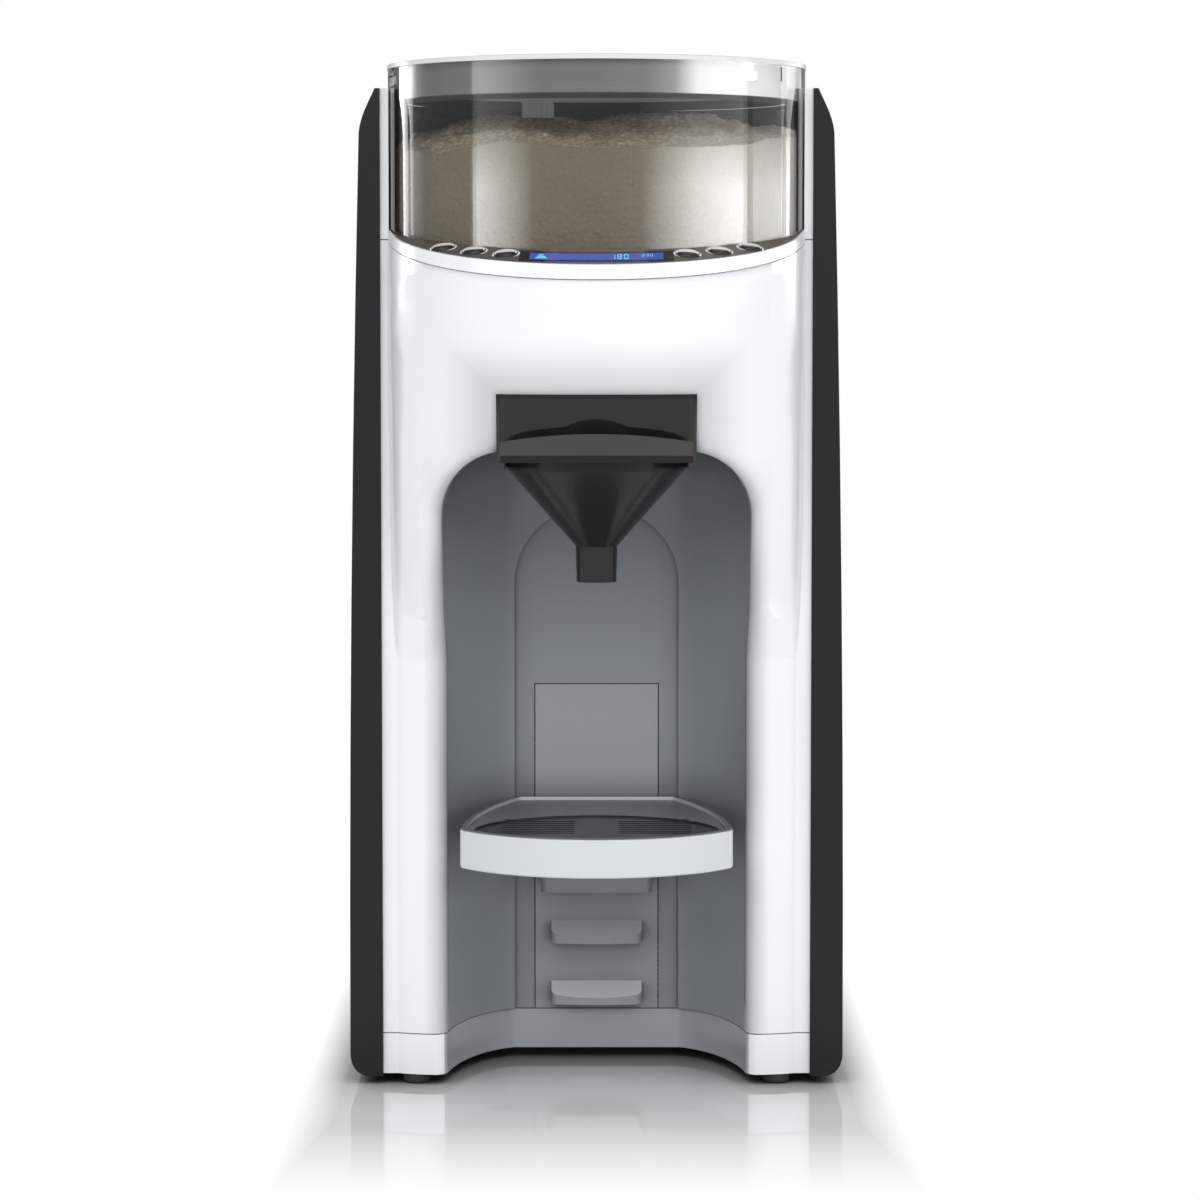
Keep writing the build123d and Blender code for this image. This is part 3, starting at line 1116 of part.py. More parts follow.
export_step(rear_housing.part, "parts/rear_housing.step")

with BuildPart() as cord_gland:
    with Locations((GLAND_X, BACK, GLAND_Z)):
        Cylinder(GLAND_RADIUS, GLAND_LENGTH, rotation=(90, 0, 0), align=HANGING)
        Cylinder(GLAND_NECK - PIN_FIT, 2 * REAR_WALL, rotation=(90, 0, 0),
                 align=STANDING)
        Cylinder(GLAND_BORE, 6 * REAR_WALL, rotation=(90, 0, 0), mode=Mode.SUBTRACT)
cord_gland.part.label = "cord_gland"
export_step(cord_gland.part, "parts/cord_gland.step")

# ---- water tank, its lid, valve and seat ---------------------------------------------------------

TANK_HALF = FLANGE_HALF - REAR_WALL - TANK_FIT
TANK_FRONT = SPINE_Y + REAR_WALL + TANK_FIT
TANK_BOTTOM = SHELF_TOP + LID_FIT
TANK_MID = (TANK_FRONT + TANK_BACK) / 2
LUG_CENTRE = KNUCKLE + HINGE_LUG / 2

with BuildPart() as water_tank:
    for inset, bottom, mode in ((0.0, TANK_BOTTOM, Mode.ADD),
                                (TANK_WALL, TANK_BOTTOM + TANK_WALL, Mode.SUBTRACT)):
        with BuildSketch(Plane.XY.offset(bottom)) as tank_plan:
            with Locations((0, TANK_MID)):
                Rectangle(2 * (TANK_HALF - inset), TANK_BACK - TANK_FRONT - 2 * inset)
            fillet(tank_plan.vertices().group_by(Axis.Y)[-1], TANK_CORNER - inset)
        extrude(amount=TANK_TOP - bottom, mode=mode)
    # hinge lugs on the back of the rim
    for side in (1, -1):
        with Locations((side * LUG_CENTRE, TANK_BACK, TANK_TOP - HINGE_LUG_DEPTH)):
            Box(HINGE_LUG - 2 * SEAM, TANK_BACK - HINGE_Y + HINGE_RADIUS,
                HINGE_Z - TANK_TOP + HINGE_LUG_DEPTH,
                align=(Align.CENTER, Align.MAX, Align.MIN))
        with Locations((side * LUG_CENTRE, HINGE_Y, HINGE_Z)):
            Cylinder(HINGE_RADIUS, HINGE_LUG - 2 * SEAM, rotation=(0, 90, 0))
    with Locations((0, HINGE_Y, HINGE_Z)):
        Cylinder(PIN_RADIUS, 4 * LUG_CENTRE, rotation=(0, 90, 0), mode=Mode.SUBTRACT)
    # outlet boss that plugs into the seat below
    with Locations((0, VALVE_Y, TANK_BOTTOM)):
        Cylinder(VALVE_BOSS, VALVE_DROP, align=HANGING)
    with Locations((0, VALVE_Y, TANK_BOTTOM)):
        Cylinder(VALVE_BORE, 4 * VALVE_DROP, mode=Mode.SUBTRACT)
water_tank.part.label = "water_tank"
export_step(water_tank.part, "parts/water_tank.step")

LID_PLATE_BOTTOM = TANK_TOP + LID_FIT
LID_FRONT = TANK_FRONT + TANK_LID_GAP
with BuildPart() as tank_lid:
    with BuildSketch(Plane.XY.offset(LID_PLATE_BOTTOM)):
        with Locations((0, LID_FRONT)):
            Rectangle(2 * (TANK_HALF - TANK_LID_GAP), HINGE_Y - HINGE_RADIUS - TANK_LID_GAP - LID_FRONT,
                      align=(Align.CENTER, Align.MIN))
            Rectangle(2 * KNUCKLE - 2 * SEAM, HINGE_Y - LID_FRONT, align=(Align.CENTER, Align.MIN))
            SlotOverall(*GRIP_SLOT, mode=Mode.SUBTRACT)
    extrude(amount=TANK_LID_WALL)
    with Locations((0, HINGE_Y, HINGE_Z)):
        Cylinder(HINGE_RADIUS, 2 * KNUCKLE - 2 * SEAM, rotation=(0, 90, 0))
        Cylinder(PIN_RADIUS + PIN_FIT, 4 * KNUCKLE, rotation=(0, 90, 0), mode=Mode.SUBTRACT)
tank_lid.part.label = "tank_lid"
export_step(tank_lid.part, "parts/tank_lid.step")

with BuildPart() as tank_lid_pin:
    with Locations((0, HINGE_Y, HINGE_Z)):
        Cylinder(PIN_RADIUS, 2 * (LUG_CENTRE + PIN_OVERHANG), rotation=(0, 90, 0))
tank_lid_pin.part.label = "tank_lid_pin"
export_step(tank_lid_pin.part, "parts/tank_lid_pin.step")

SEAT_FLOOR = TANK_BOTTOM - VALVE_DROP - VALVE_LIFT
with BuildPart() as tank_seat:
    with Locations((0, VALVE_Y, SHELF_BOTTOM)):
        Cylinder(VALVE_BOSS + SEAT_COLLAR, SHELF_BOTTOM - SEAT_FLOOR + REAR_WALL, align=HANGING)
    with Locations((0, VALVE_Y, SHELF_BOTTOM)):
        Cylinder(VALVE_BOSS + TANK_FIT, SHELF_BOTTOM - SEAT_FLOOR, align=HANGING, mode=Mode.SUBTRACT)
    with Locations((0, VALVE_Y, SEAT_FLOOR - REAR_WALL)):
        Cylinder(HOSE_RADIUS, 2 * REAR_WALL, align=HANGING)
    with Locations((0, VALVE_Y, SEAT_FLOOR)):
        Cylinder(VALVE_PIN, VALVE_LIFT + VALVE_DISC, align=STANDING)
tank_seat.part.label = "tank_seat"
export_step(tank_seat.part, "parts/tank_seat.step")

with BuildPart() as tank_valve:
    with Locations((0, VALVE_Y, TANK_BOTTOM + TANK_WALL + VALVE_LIFT)):
        Cylinder(VALVE_BORE + VALVE_RIM, VALVE_DISC, align=STANDING)
        Cylinder(VALVE_BORE / 2, TANK_WALL + VALVE_LIFT + VALVE_DROP - VALVE_DISC,
                 align=HANGING)
tank_valve.part.label = "tank_valve"
export_step(tank_valve.part, "parts/tank_valve.step")

# ---- pump, heater and hoses ----------------------------------------------------------------------

WORKS_FLOOR = FOOT_HEIGHT + BASE_FLOOR
PUMP_TOP = WORKS_FLOOR + PUMP_LENGTH
with BuildPart() as pump:
    with Locations((PUMP_X, PUMP_Y, WORKS_FLOOR)):
        Cylinder(PUMP_RADIUS, PUMP_LENGTH - PUMP_HEAD_HEIGHT, align=STANDING)
    with Locations((PUMP_X, PUMP_Y, PUMP_TOP)):
        Box(2 * PUMP_HEAD_HALF, 2 * PUMP_HEAD_HALF, PUMP_HEAD_HEIGHT, align=HANGING)
pump.part.label = "pump"
export_step(pump.part, "parts/pump.step")

HEATER_TOP = WORKS_FLOOR + HEATER_HEIGHT
with BuildPart() as heater:
    with Locations((HEATER_X, HEATER_Y, WORKS_FLOOR)):
        Cylinder(HEATER_RADIUS, HEATER_HEIGHT, align=STANDING)
    with Locations((HEATER_X, HEATER_Y, WORKS_FLOOR + HEATER_HEIGHT / 2)):
        Cylinder(HEATER_RADIUS + HEATER_BAND_WALL, HEATER_BAND_HEIGHT)
heater.part.label = "heater"
export_step(heater.part, "parts/heater.step")

hose_routes = {
    "hose_tank_pump": [(0, VALVE_Y, SEAT_FLOOR - 3 * REAR_WALL), (0, VALVE_Y, TANK_HOSE_LEVEL),
                       (PUMP_X - PUMP_PORT, VALVE_Y, TANK_HOSE_LEVEL),
                       (PUMP_X - PUMP_PORT, PUMP_Y, TANK_HOSE_LEVEL),
                       (PUMP_X - PUMP_PORT, PUMP_Y, PUMP_TOP)],
    "hose_pump_heater": [(PUMP_X + PUMP_PORT, PUMP_Y, PUMP_TOP),
                         (PUMP_X + PUMP_PORT, PUMP_Y, PUMP_HOSE_LEVEL),
                         (HEATER_X - PUMP_PORT, HEATER_Y, PUMP_HOSE_LEVEL),
                         (HEATER_X - PUMP_PORT, HEATER_Y, HEATER_TOP)],
    "hose_heater_nozzle": [(HEATER_X + PUMP_PORT, HEATER_Y, HEATER_TOP),
                           (HEATER_X + PUMP_PORT, HEATER_Y, HOSE_LEVEL),
                           (HEATER_X + PUMP_PORT, NOZZLE_Y, HOSE_LEVEL), (NOZZLE_X, NOZZLE_Y, HOSE_LEVEL),
                           (NOZZLE_X, NOZZLE_Y, HOLDER_TOP + NOZZLE_STUB)],
}
for name, route in hose_routes.items():
    with BuildPart() as hose:
        with BuildLine() as path:
            FilletPolyline(*route, radius=HOSE_BEND)
        with BuildSketch(Plane(origin=path.wire() @ 0, z_dir=path.wire() % 0)):
            Circle(HOSE_RADIUS)
        sweep()
    hose.part.label = name
    export_step(hose.part, f"parts/{name}.step")

# ---- main board ----------------------------------------------------------------------------------

BOARD_Y = BACK - REAR_WALL - STANDOFF
standoff_x = MAIN_BOARD_SIZE[0] / 2 - STANDOFF_INSET
standoff_z = MAIN_BOARD_SIZE[1] / 2 - STANDOFF_INSET
with BuildPart() as main_board:
    with Locations((0, BOARD_Y, MAIN_BOARD_Z)):
        Box(MAIN_BOARD_SIZE[0], BOARD_WALL, MAIN_BOARD_SIZE[1],
            align=(Align.CENTER, Align.MAX, Align.CENTER))
    with Locations((0, BOARD_Y, MAIN_BOARD_Z)):
        with Locations(*[(x, 0, z) for x in (-standoff_x, standoff_x) for z in (-standoff_z, standoff_z)]):
            Cylinder(STANDOFF_RADIUS, STANDOFF, rotation=(90, 0, 0), align=HANGING)
    for x, z, width, depth, height in BOARD_PARTS:
        with Locations((x, BOARD_Y - BOARD_WALL, MAIN_BOARD_Z + z)):
            Box(width, depth, height, align=(Align.CENTER, Align.MAX, Align.CENTER))
main_board.part.label = "main_board"
export_step(main_board.part, "parts/main_board.step")
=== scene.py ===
import math

import bpy
import numpy as np
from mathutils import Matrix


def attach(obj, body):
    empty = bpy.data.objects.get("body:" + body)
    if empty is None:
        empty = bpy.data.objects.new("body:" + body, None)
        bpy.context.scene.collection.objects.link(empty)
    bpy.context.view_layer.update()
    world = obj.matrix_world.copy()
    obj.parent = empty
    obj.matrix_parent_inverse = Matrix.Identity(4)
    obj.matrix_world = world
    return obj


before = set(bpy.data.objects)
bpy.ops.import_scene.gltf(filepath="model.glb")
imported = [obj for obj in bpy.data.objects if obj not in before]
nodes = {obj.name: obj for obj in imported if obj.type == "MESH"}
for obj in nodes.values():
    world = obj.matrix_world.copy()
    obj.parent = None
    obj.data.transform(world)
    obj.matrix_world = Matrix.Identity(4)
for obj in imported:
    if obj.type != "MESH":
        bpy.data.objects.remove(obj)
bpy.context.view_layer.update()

# ---- Camera ----------------------------------------------------------------------------------------
# A long lens a little above the middle of the machine, tipped down by a few degrees, so that the lid
# shows its front edge only and the tray shows a thin strip of its top.
LENS_DISTANCE, LENS_HEIGHT, LENS_TIP = 1.592, 0.3026, 4.289
camera_data = bpy.data.cameras.new("camera")
camera_data.lens = 120.0
camera_data.sensor_width = 36.0
camera_data.shift_x = 0.0029
camera_data.clip_end = 50.0
camera = bpy.data.objects.new("camera", camera_data)
camera.location = (0.0, -LENS_DISTANCE, LENS_HEIGHT)
camera.rotation_euler = (math.radians(90.0 - LENS_TIP), 0.0, 0.0)
bpy.context.scene.collection.objects.link(camera)
bpy.context.scene.camera = camera
bpy.context.scene.view_settings.view_transform = "Standard"

# ---- Studio floor, sky and lamps -------------------------------------------------------------------
# A polished white table top that mirrors the foot of the machine and fades out to plain white, a
# white sky, and tall soft lamps at both sides whose straight edges show in the curved container.
FLOOR_WIDE, FLOOR_DEEP, FLOOR_LINES = (-6.0, 6.0), (-3.0, 9.0), 25
MIRROR_ASIDE, MIRROR_AHEAD = (0.097, 0.112), (0.14, 0.25)
AIM_HEIGHT = 0.25
SCRIM = (0.42, 0.62)


def new_material(name):
    """A material, its node tree, its Principled shader and the object coordinates for its patterns."""
    material = bpy.data.materials.new(name)
    material.use_nodes = True
    tree = material.node_tree
    place = tree.nodes.new("ShaderNodeTexCoord").outputs["Object"]
    return material, tree, tree.nodes["Principled BSDF"], place


def add_node(tree, kind, inputs=None, **settings):
    """A shader node; each of its inputs takes a plain value or the socket that feeds it."""
    node = tree.nodes.new("ShaderNode" + kind)
    for name, value in settings.items():
        setattr(node, name, value)
    for key, value in (inputs or {}).items():
        if isinstance(value, bpy.types.NodeSocket):
            tree.links.new(value, node.inputs[key])
        else:
            node.inputs[key].default_value = value
    return node


def maths(tree, operation, *values):
    """The outcome of a sum on numbers."""
    return add_node(tree, "Math", dict(enumerate(values)), operation=operation).outputs[0]


def vector_maths(tree, operation, *values):
    """The outcome of a sum on vectors, which is a number for a length or a dot product."""
    node = add_node(tree, "VectorMath", dict(enumerate(values)), operation=operation)
    return node.outputs["Value" if operation in ("LENGTH", "DOT_PRODUCT") else "Vector"]


def remap(tree, value, start=0.0, end=1.0, low=0.0, high=1.0, kind="LINEAR"):
    """A value stretched so that start becomes low and end becomes high, and held between them."""
    bounds = {"From Min": start, "From Max": end, "To Min": low, "To Max": high}
    return add_node(tree, "MapRange", {"Value": value, **bounds}, interpolation_type=kind).outputs[0]


def mix_shaders(tree, factor, first, second):
    """A mix of two shader nodes, from first at a factor of 0 to second at 1."""
    return add_node(tree, "MixShader", {0: factor, 1: first.outputs[0], 2: second.outputs[0]})


def set_surface(tree, node):
    """Sends a shader node to the material's or the sky's output."""
    output = next(entry for entry in tree.nodes if entry.type.startswith("OUTPUT"))
    tree.links.new(node.outputs[0], output.inputs["Surface"])


def grid_mesh(name, points, closed=False, capped=False):
    """A mesh of quads from rows of points; closed joins each row's ends, capped fills the outer rows."""
    rows, columns = points.shape[:2]
    index = np.arange(rows * columns).reshape(rows, columns)
    caps = [index[0, ::-1].tolist(), index[-1].tolist()] if capped else []
    if closed:
        index = np.hstack([index, index[:, :1]])
    corners = [index[:-1, :-1], index[:-1, 1:], index[1:, 1:], index[1:, :-1]]
    quads = np.stack(corners, -1).reshape(-1, 4)
    mesh = bpy.data.meshes.new(name)
    mesh.from_pydata(points.reshape(-1, 3).tolist(), [], quads.tolist() + caps)
    mesh.polygons.foreach_set("use_smooth", np.full(len(mesh.polygons), True))
    mesh.update()
    return mesh


floor_x, floor_y = np.meshgrid(np.linspace(*FLOOR_WIDE, FLOOR_LINES),
                               np.linspace(*FLOOR_DEEP, FLOOR_LINES))
floor_points = np.stack([floor_x, floor_y, 0 * floor_x], -1)
floor = bpy.data.objects.new("floor", grid_mesh("floor", floor_points))
bpy.context.scene.collection.objects.link(floor)

table_top, tree, shader, place = new_material("polished_table")
shader.inputs["Roughness"].default_value = 0.05
# The table top's tone darkens close to the machine: painted shade.
shade = add_node(tree, "AmbientOcclusion", {"Color": (0.86, 0.85, 0.85, 1), "Distance": 0.06}, samples=8)
tree.links.new(shade.outputs["Color"], shader.inputs["Base Color"])
reach = add_node(tree, "SeparateXYZ", {0: vector_maths(tree, "ABSOLUTE", place)})
aside = remap(tree, reach.outputs["X"], *MIRROR_ASIDE)
ahead = remap(tree, reach.outputs["Y"], *MIRROR_AHEAD)
plain_white = add_node(tree, "Emission")
set_surface(tree, mix_shaders(tree, maths(tree, "MAXIMUM", aside, ahead), shader, plain_white))
floor.data.materials.append(table_top)

world = bpy.data.worlds.new("sky")
world.use_nodes = True
bpy.context.scene.world = world
tree = world.node_tree
sky = tree.nodes["Background"]
sky.inputs["Color"].default_value = (0.96, 0.98, 1.0, 1)
sky.inputs["Strength"].default_value = 0.40
backdrop = add_node(tree, "Background", {"Color": (1, 1, 1, 1)})
path = add_node(tree, "LightPath")
direct = maths(tree, "MAXIMUM", path.outputs["Is Camera Ray"], path.outputs["Is Transmission Ray"])
set_surface(tree, mix_shaders(tree, direct, sky, backdrop))


def soft_lamp(name, azimuth, distance, height, width, tall, left_level, right_level, veil=1.0):
    """A flat lamp that faces the machine, its azimuth counted from the front towards the right.

    Its glow runs evenly from one level at its left edge to another at its right edge, and a scrim
    over its upper part lets through the share given as veil."""
    lamp = bpy.data.lights.new(name, "AREA")
    lamp.shape = "RECTANGLE"
    lamp.size = width
    lamp.size_y = tall
    lamp.energy = math.pi * width * tall
    lamp.use_nodes = True
    tree = lamp.node_tree
    spot = add_node(tree, "SeparateXYZ", {0: add_node(tree, "NewGeometry").outputs["Parametric"]})
    level = remap(tree, spot.outputs["X"], low=left_level, high=right_level)
    scrim = remap(tree, spot.outputs["Y"], *SCRIM, low=1.0, high=veil)
    tree.links.new(maths(tree, "MULTIPLY", level, scrim), tree.nodes["Emission"].inputs["Strength"])
    holder = bpy.data.objects.new(name, lamp)
    bpy.context.scene.collection.objects.link(holder)
    turn = math.radians(azimuth)
    holder.location = (distance * math.sin(turn), -distance * math.cos(turn), height)
    away = holder.location.copy()
    away.z -= AIM_HEIGHT
    holder.rotation_euler = away.to_track_quat("Z", "Y").to_euler()


# name, azimuth, distance, height, width, tall, left level, right level, veil
soft_lamp("key_front", 0, 2.3, 1.55, 2.4, 1.4, 3.6, 3.6)
soft_lamp("lamp_top", 0, 0.25, 1.8, 1.6, 1.2, 1.6, 1.6)
soft_lamp("jar_right", 56, 1.7, 0.41, 2.12, 0.24, 0.2, 8.5, 0.15)
soft_lamp("jar_right_side", 108, 1.7, 0.41, 0.98, 0.24, 3.6, 3.6, 0.1)
soft_lamp("jar_right_strip", 138, 1.6, 0.41, 0.75, 0.24, 7.0, 5.0, 0.3)
soft_lamp("jar_left", -51, 1.7, 0.41, 1.05, 0.24, 5.8, 0.1, 0.15)
soft_lamp("jar_left_strip", -129, 1.6, 0.41, 0.34, 0.24, 15.0, 2.0, 1.0)

# ---- White mouldings -------------------------------------------------------------------------------
# The foot, the hollow front, the rim with its two arms, the tray and the lid: glossy moulded plastic.
# A slow cloud shifts its gloss and tone a little, and a fine one raises the skin of the mould. The
# front carries painted shade down its inner legs and towards the rim of the funnel's slot.
WHITE = (0.84, 0.86, 0.875)
TONE_DRIFT = 0.03
CREASE_DARKNESS = 0.25
BAY_HALF = 0.0588
BAY_BOX = (-BAY_HALF, -0.0625, 0.0), (BAY_HALF, 0.005, 0.5)
EASED_FRONT, EASED_FOOT, EASED_TOP = -0.2, 0.03, 0.5
LEG_SHADE_X, LEG_SHADE_Z, LEG_DARKNESS = (0.0665, 0.0555), (0.245, 0.200), 0.40
SLOT_MIDDLE, SLOT_HALF = (0.0, 0.0, 0.254), (0.0366, 0.0, 0.0141)
SLOT_FADE, SLOT_SHADE = 0.022, 0.34


def blend_colour(tree, factor, first, second):
    """The output of a colour mix, from first at a factor of 0 to second at 1."""
    mix = add_node(tree, "Mix", {0: factor}, data_type="RGBA")
    for socket, colour in ((mix.inputs[6], first), (mix.inputs[7], second)):
        if isinstance(colour, bpy.types.NodeSocket):
            tree.links.new(colour, socket)
        else:
            socket.default_value = (*colour, 1)
    return mix.outputs[2]


def box_mask(tree, place, low, high):
    """1 inside an upright box and 0 outside it."""
    middle = [(first + last) / 2 for first, last in zip(low, high)]
    half = [(last - first) / 2 for first, last in zip(low, high)]
    away = vector_maths(tree, "ABSOLUTE", vector_maths(tree, "SUBTRACT", place, middle))
    share = add_node(tree, "SeparateXYZ", {0: vector_maths(tree, "DIVIDE", away, half)})
    most = maths(tree, "MAXIMUM", share.outputs["X"], share.outputs["Y"])
    most = maths(tree, "MAXIMUM", most, share.outputs["Z"])
    return maths(tree, "LESS_THAN", most, 1.0)


def facing_along(tree, axis):
    """How squarely a face looks along an axis, from -1 to 1."""
    normal = add_node(tree, "NewGeometry").outputs["True Normal"]
    return add_node(tree, "SeparateXYZ", {0: normal}).outputs[axis]


def eased_normal(tree, place, rounding):
    """The way a face looks, eased across the edges round the bay as if they had a rounding."""
    low = (-BAY_HALF - rounding, EASED_FRONT, EASED_FOOT)
    high = (BAY_HALF + rounding, 0.0, EASED_TOP)
    plain = add_node(tree, "NewGeometry").outputs["Normal"]
    eased = add_node(tree, "Bevel", {"Radius": rounding}, samples=8).outputs[0]
    near_bay = box_mask(tree, place, low, high)
    return add_node(tree, "Mix", {0: near_bay, 4: plain, 5: eased}, data_type="VECTOR").outputs[1]


def painted_edge_shade(tree, place, tint, colour):
    """The tint with painted shade where the legs turn into the bay and close to the funnel's slot."""
    away = add_node(tree, "SeparateXYZ", {0: vector_maths(tree, "ABSOLUTE", place)})
    beside = remap(tree, away.outputs["X"], *LEG_SHADE_X)
    below = remap(tree, away.outputs["Z"], *LEG_SHADE_Z)
    turned = maths(tree, "MULTIPLY", beside, below)
    tint = blend_colour(tree, turned, tint, [channel * LEG_DARKNESS for channel in colour])
    from_slot = vector_maths(tree, "ABSOLUTE", vector_maths(tree, "SUBTRACT", place, SLOT_MIDDLE))
    past_rim = add_node(tree, "SeparateXYZ", {0: vector_maths(tree, "SUBTRACT", from_slot, SLOT_HALF)})
    apart = maths(tree, "MAXIMUM", past_rim.outputs["X"], past_rim.outputs["Z"])
    shade = remap(tree, apart, 0.0, SLOT_FADE, SLOT_SHADE, 0.0, "SMOOTHSTEP")
    return blend_colour(tree, shade, tint, (0.02, 0.02, 0.02))


def plastic(name, colour, roughness, grain=0.04, grain_size=300.0, spread=0.04, shine=0.5,
            painted_inset=None, glow=None, box=BAY_BOX, crease=0.0, top=None, rounding=0.0):
    """Moulded plastic: its tone and gloss drift slowly, and its skin has the grain of the mould.

    inset is a colour painted inside the box for light and shade there, and glow a faint painted
    light there; crease is how far around a point its neighbours cast painted shade on it; top is a
    colour painted on its upper faces for light and shade; rounding eases the edges of the bay and
    darkens them with painted shade."""
    material, tree, shader, place = new_material(name)
    cloud = add_node(tree, "TexNoise", {"Vector": place, "Scale": 18.0, "Detail": 3.0}).outputs["Fac"]
    skin = add_node(tree, "TexNoise", {"Vector": place, "Scale": grain_size, "Detail": 2.0})
    bump = add_node(tree, "Bump", {"Height": skin.outputs["Fac"], "Strength": grain, "Distance": 0.0002})
    tint = blend_colour(tree, cloud, colour, [channel * (1 - TONE_DRIFT) for channel in colour])
    if painted_inset:
        tint = blend_colour(tree, box_mask(tree, place, *box), tint, painted_inset)
    if glow:
        light = blend_colour(tree, box_mask(tree, place, *box), (0, 0, 0), glow)
        tree.links.new(light, shader.inputs["Emission Color"])
        shader.inputs["Emission Strength"].default_value = 1.0
    if crease:
        open_share = add_node(tree, "AmbientOcclusion", {"Distance": crease}, samples=8).outputs["AO"]
        dark = [channel * CREASE_DARKNESS for channel in colour]
        tint = blend_colour(tree, maths(tree, "POWER", open_share, 1.5), dark, tint)
    if top:
        tint = blend_colour(tree, remap(tree, facing_along(tree, "Z"), 0.3, 0.7), tint, top)
    if rounding:
        tint = painted_edge_shade(tree, place, tint, colour)
        tree.links.new(eased_normal(tree, place, rounding), bump.inputs["Normal"])
    gloss = remap(tree, cloud, low=roughness - spread, high=roughness + spread)
    shader.inputs["Specular IOR Level"].default_value = shine
    tree.links.new(tint, shader.inputs["Base Color"])
    tree.links.new(gloss, shader.inputs["Roughness"])
    tree.links.new(bump.outputs[0], shader.inputs["Normal"])
    return material


def finish_nodes(material, *names):
    """Puts one finish on every slot of the named nodes."""
    for name in names:
        node = nodes[name]
        if not node.material_slots:
            node.data.materials.append(material)
        for entry in node.material_slots:
            entry.material = material


finish_nodes(plastic("white_gloss", WHITE, 0.20), "top_rim")
finish_nodes(plastic("lid_white", (0.68, 0.70, 0.705), 0.20), "lid")
# The tray's white is darker than the front's and its upper faces dark: painted shade under the head.
finish_nodes(plastic("tray_white_shaded", (0.61, 0.64, 0.65), 0.20, top=(0.10, 0.105, 0.11)), "drip_tray")
# The front's inner legs and the rim of the slot carry painted shade.
finish_nodes(plastic("white_rounded_and_shaded", WHITE, 0.20, rounding=0.006), "front_shell")
# The foot's walls inside the bay are painted grey: painted shade.
finish_nodes(plastic("white_with_bay_shade", WHITE, 0.20, painted_inset=(0.44, 0.455, 0.47)), "base")

# ---- Black mouldings -------------------------------------------------------------------------------
# The crowned side panels, the rear housing with its tank bay, the tank's cover and the gland at the
# back: satin black plastic with a fine spark grain.
black_satin = plastic("black_satin", (0.009, 0.010, 0.0105), 0.34, 0.12, 1500.0, 0.05, shine=0.28)
finish_nodes(black_satin, "side_panel_left", "side_panel_right", "rear_housing", "cord_gland", "tank_lid")

# ---- Bay liner, ledge panel and tray bracket -------------------------------------------------------
# Grey satin plastic, the ledge panel a shade lighter; the liner's long walls bend the lamps' light
# into soft upright bands. Both carry painted shade in their corners, and the ledges' upper faces are
# painted lighter: painted light.
finish_nodes(plastic("liner_grey", (0.30, 0.325, 0.34), 0.36, 0.10, 1200.0, 0.03, crease=0.016),
             "bay_liner")
finish_nodes(plastic("ledge_grey", (0.38, 0.395, 0.405), 0.40, 0.12, 1200.0, crease=0.012,
                     top=(0.80, 0.82, 0.83)), "ledge_panel")
finish_nodes(plastic("bracket_grey", (0.24, 0.25, 0.26), 0.40, 0.12, 1200.0), "tray_bracket")

# ---- Drip grate ------------------------------------------------------------------------------------
# Dark slotted plastic that lies in the tray; its top deck is painted lighter, a painted reflection of
# the bay.
DECK_REFLECTION_BOX = (-0.06, -0.2, 0.10422), (0.06, 0.0, 0.12)
finish_nodes(plastic("grate_grey", (0.017, 0.019, 0.021), 0.34, 0.12, 1200.0,
                     painted_inset=(0.12, 0.125, 0.13), box=DECK_REFLECTION_BOX), "tray_grate")

# ---- Funnel and its holder -------------------------------------------------------------------------
# The smoky funnel slides out of a black frame in the slot over the bay. Its thin walls let some light
# through and mirror the lamps; its lip and the wings behind are painted lighter, painted light, and its
# spout darker, painted shade. The inside of the frame has a faint painted glow.
SMOKE_COVER = 0.75
LIP_BOX = (-0.04, -0.13, 0.2457), (0.04, -0.1212, 0.26)
WING_BOX = (-0.04, -0.1212, 0.2440), (0.04, -0.02, 0.26)
SPOUT_BOX = (-0.0041, -0.14, 0.18), (0.0041, -0.02, 0.2085)
HOLDER_BOX = (-0.0359, -0.1190, 0.2440), (0.0359, 0.0, 0.3)


def thin_clear(name, tint, edge_tint, roughness, mirror_share=0.05, body=None):
    """A thin clear wall: it tints what is behind it, darker at a grazing view, and mirrors the lamps.

    Smoky plastic also has a body colour, here with painted light and shade in it, which covers most of
    what is behind it."""
    material, tree, _, place = new_material(name)
    facing = add_node(tree, "LayerWeight", {"Blend": 0.5}).outputs["Facing"]
    colour = blend_colour(tree, maths(tree, "POWER", facing, 4.0), tint, edge_tint)
    clear = add_node(tree, "BsdfTransparent", {"Color": colour})
    if body:
        smoke = add_node(tree, "BsdfDiffuse", {"Color": body(tree, place)})
        clear = mix_shaders(tree, SMOKE_COVER, clear, smoke)
    haze = add_node(tree, "TexNoise", {"Vector": place, "Scale": 45.0, "Detail": 4.0}).outputs["Fac"]
    gloss = remap(tree, haze, low=roughness * 0.6, high=roughness * 1.5)
    ripple = add_node(tree, "Bump", {"Height": haze, "Strength": 0.03, "Distance": 0.0005})
    mirror = add_node(tree, "BsdfAnisotropic", {"Roughness": gloss, "Normal": ripple.outputs[0]})
    share = remap(tree, maths(tree, "POWER", facing, 5.0), low=mirror_share)
    set_surface(tree, mix_shaders(tree, share, clear, mirror))
    return material


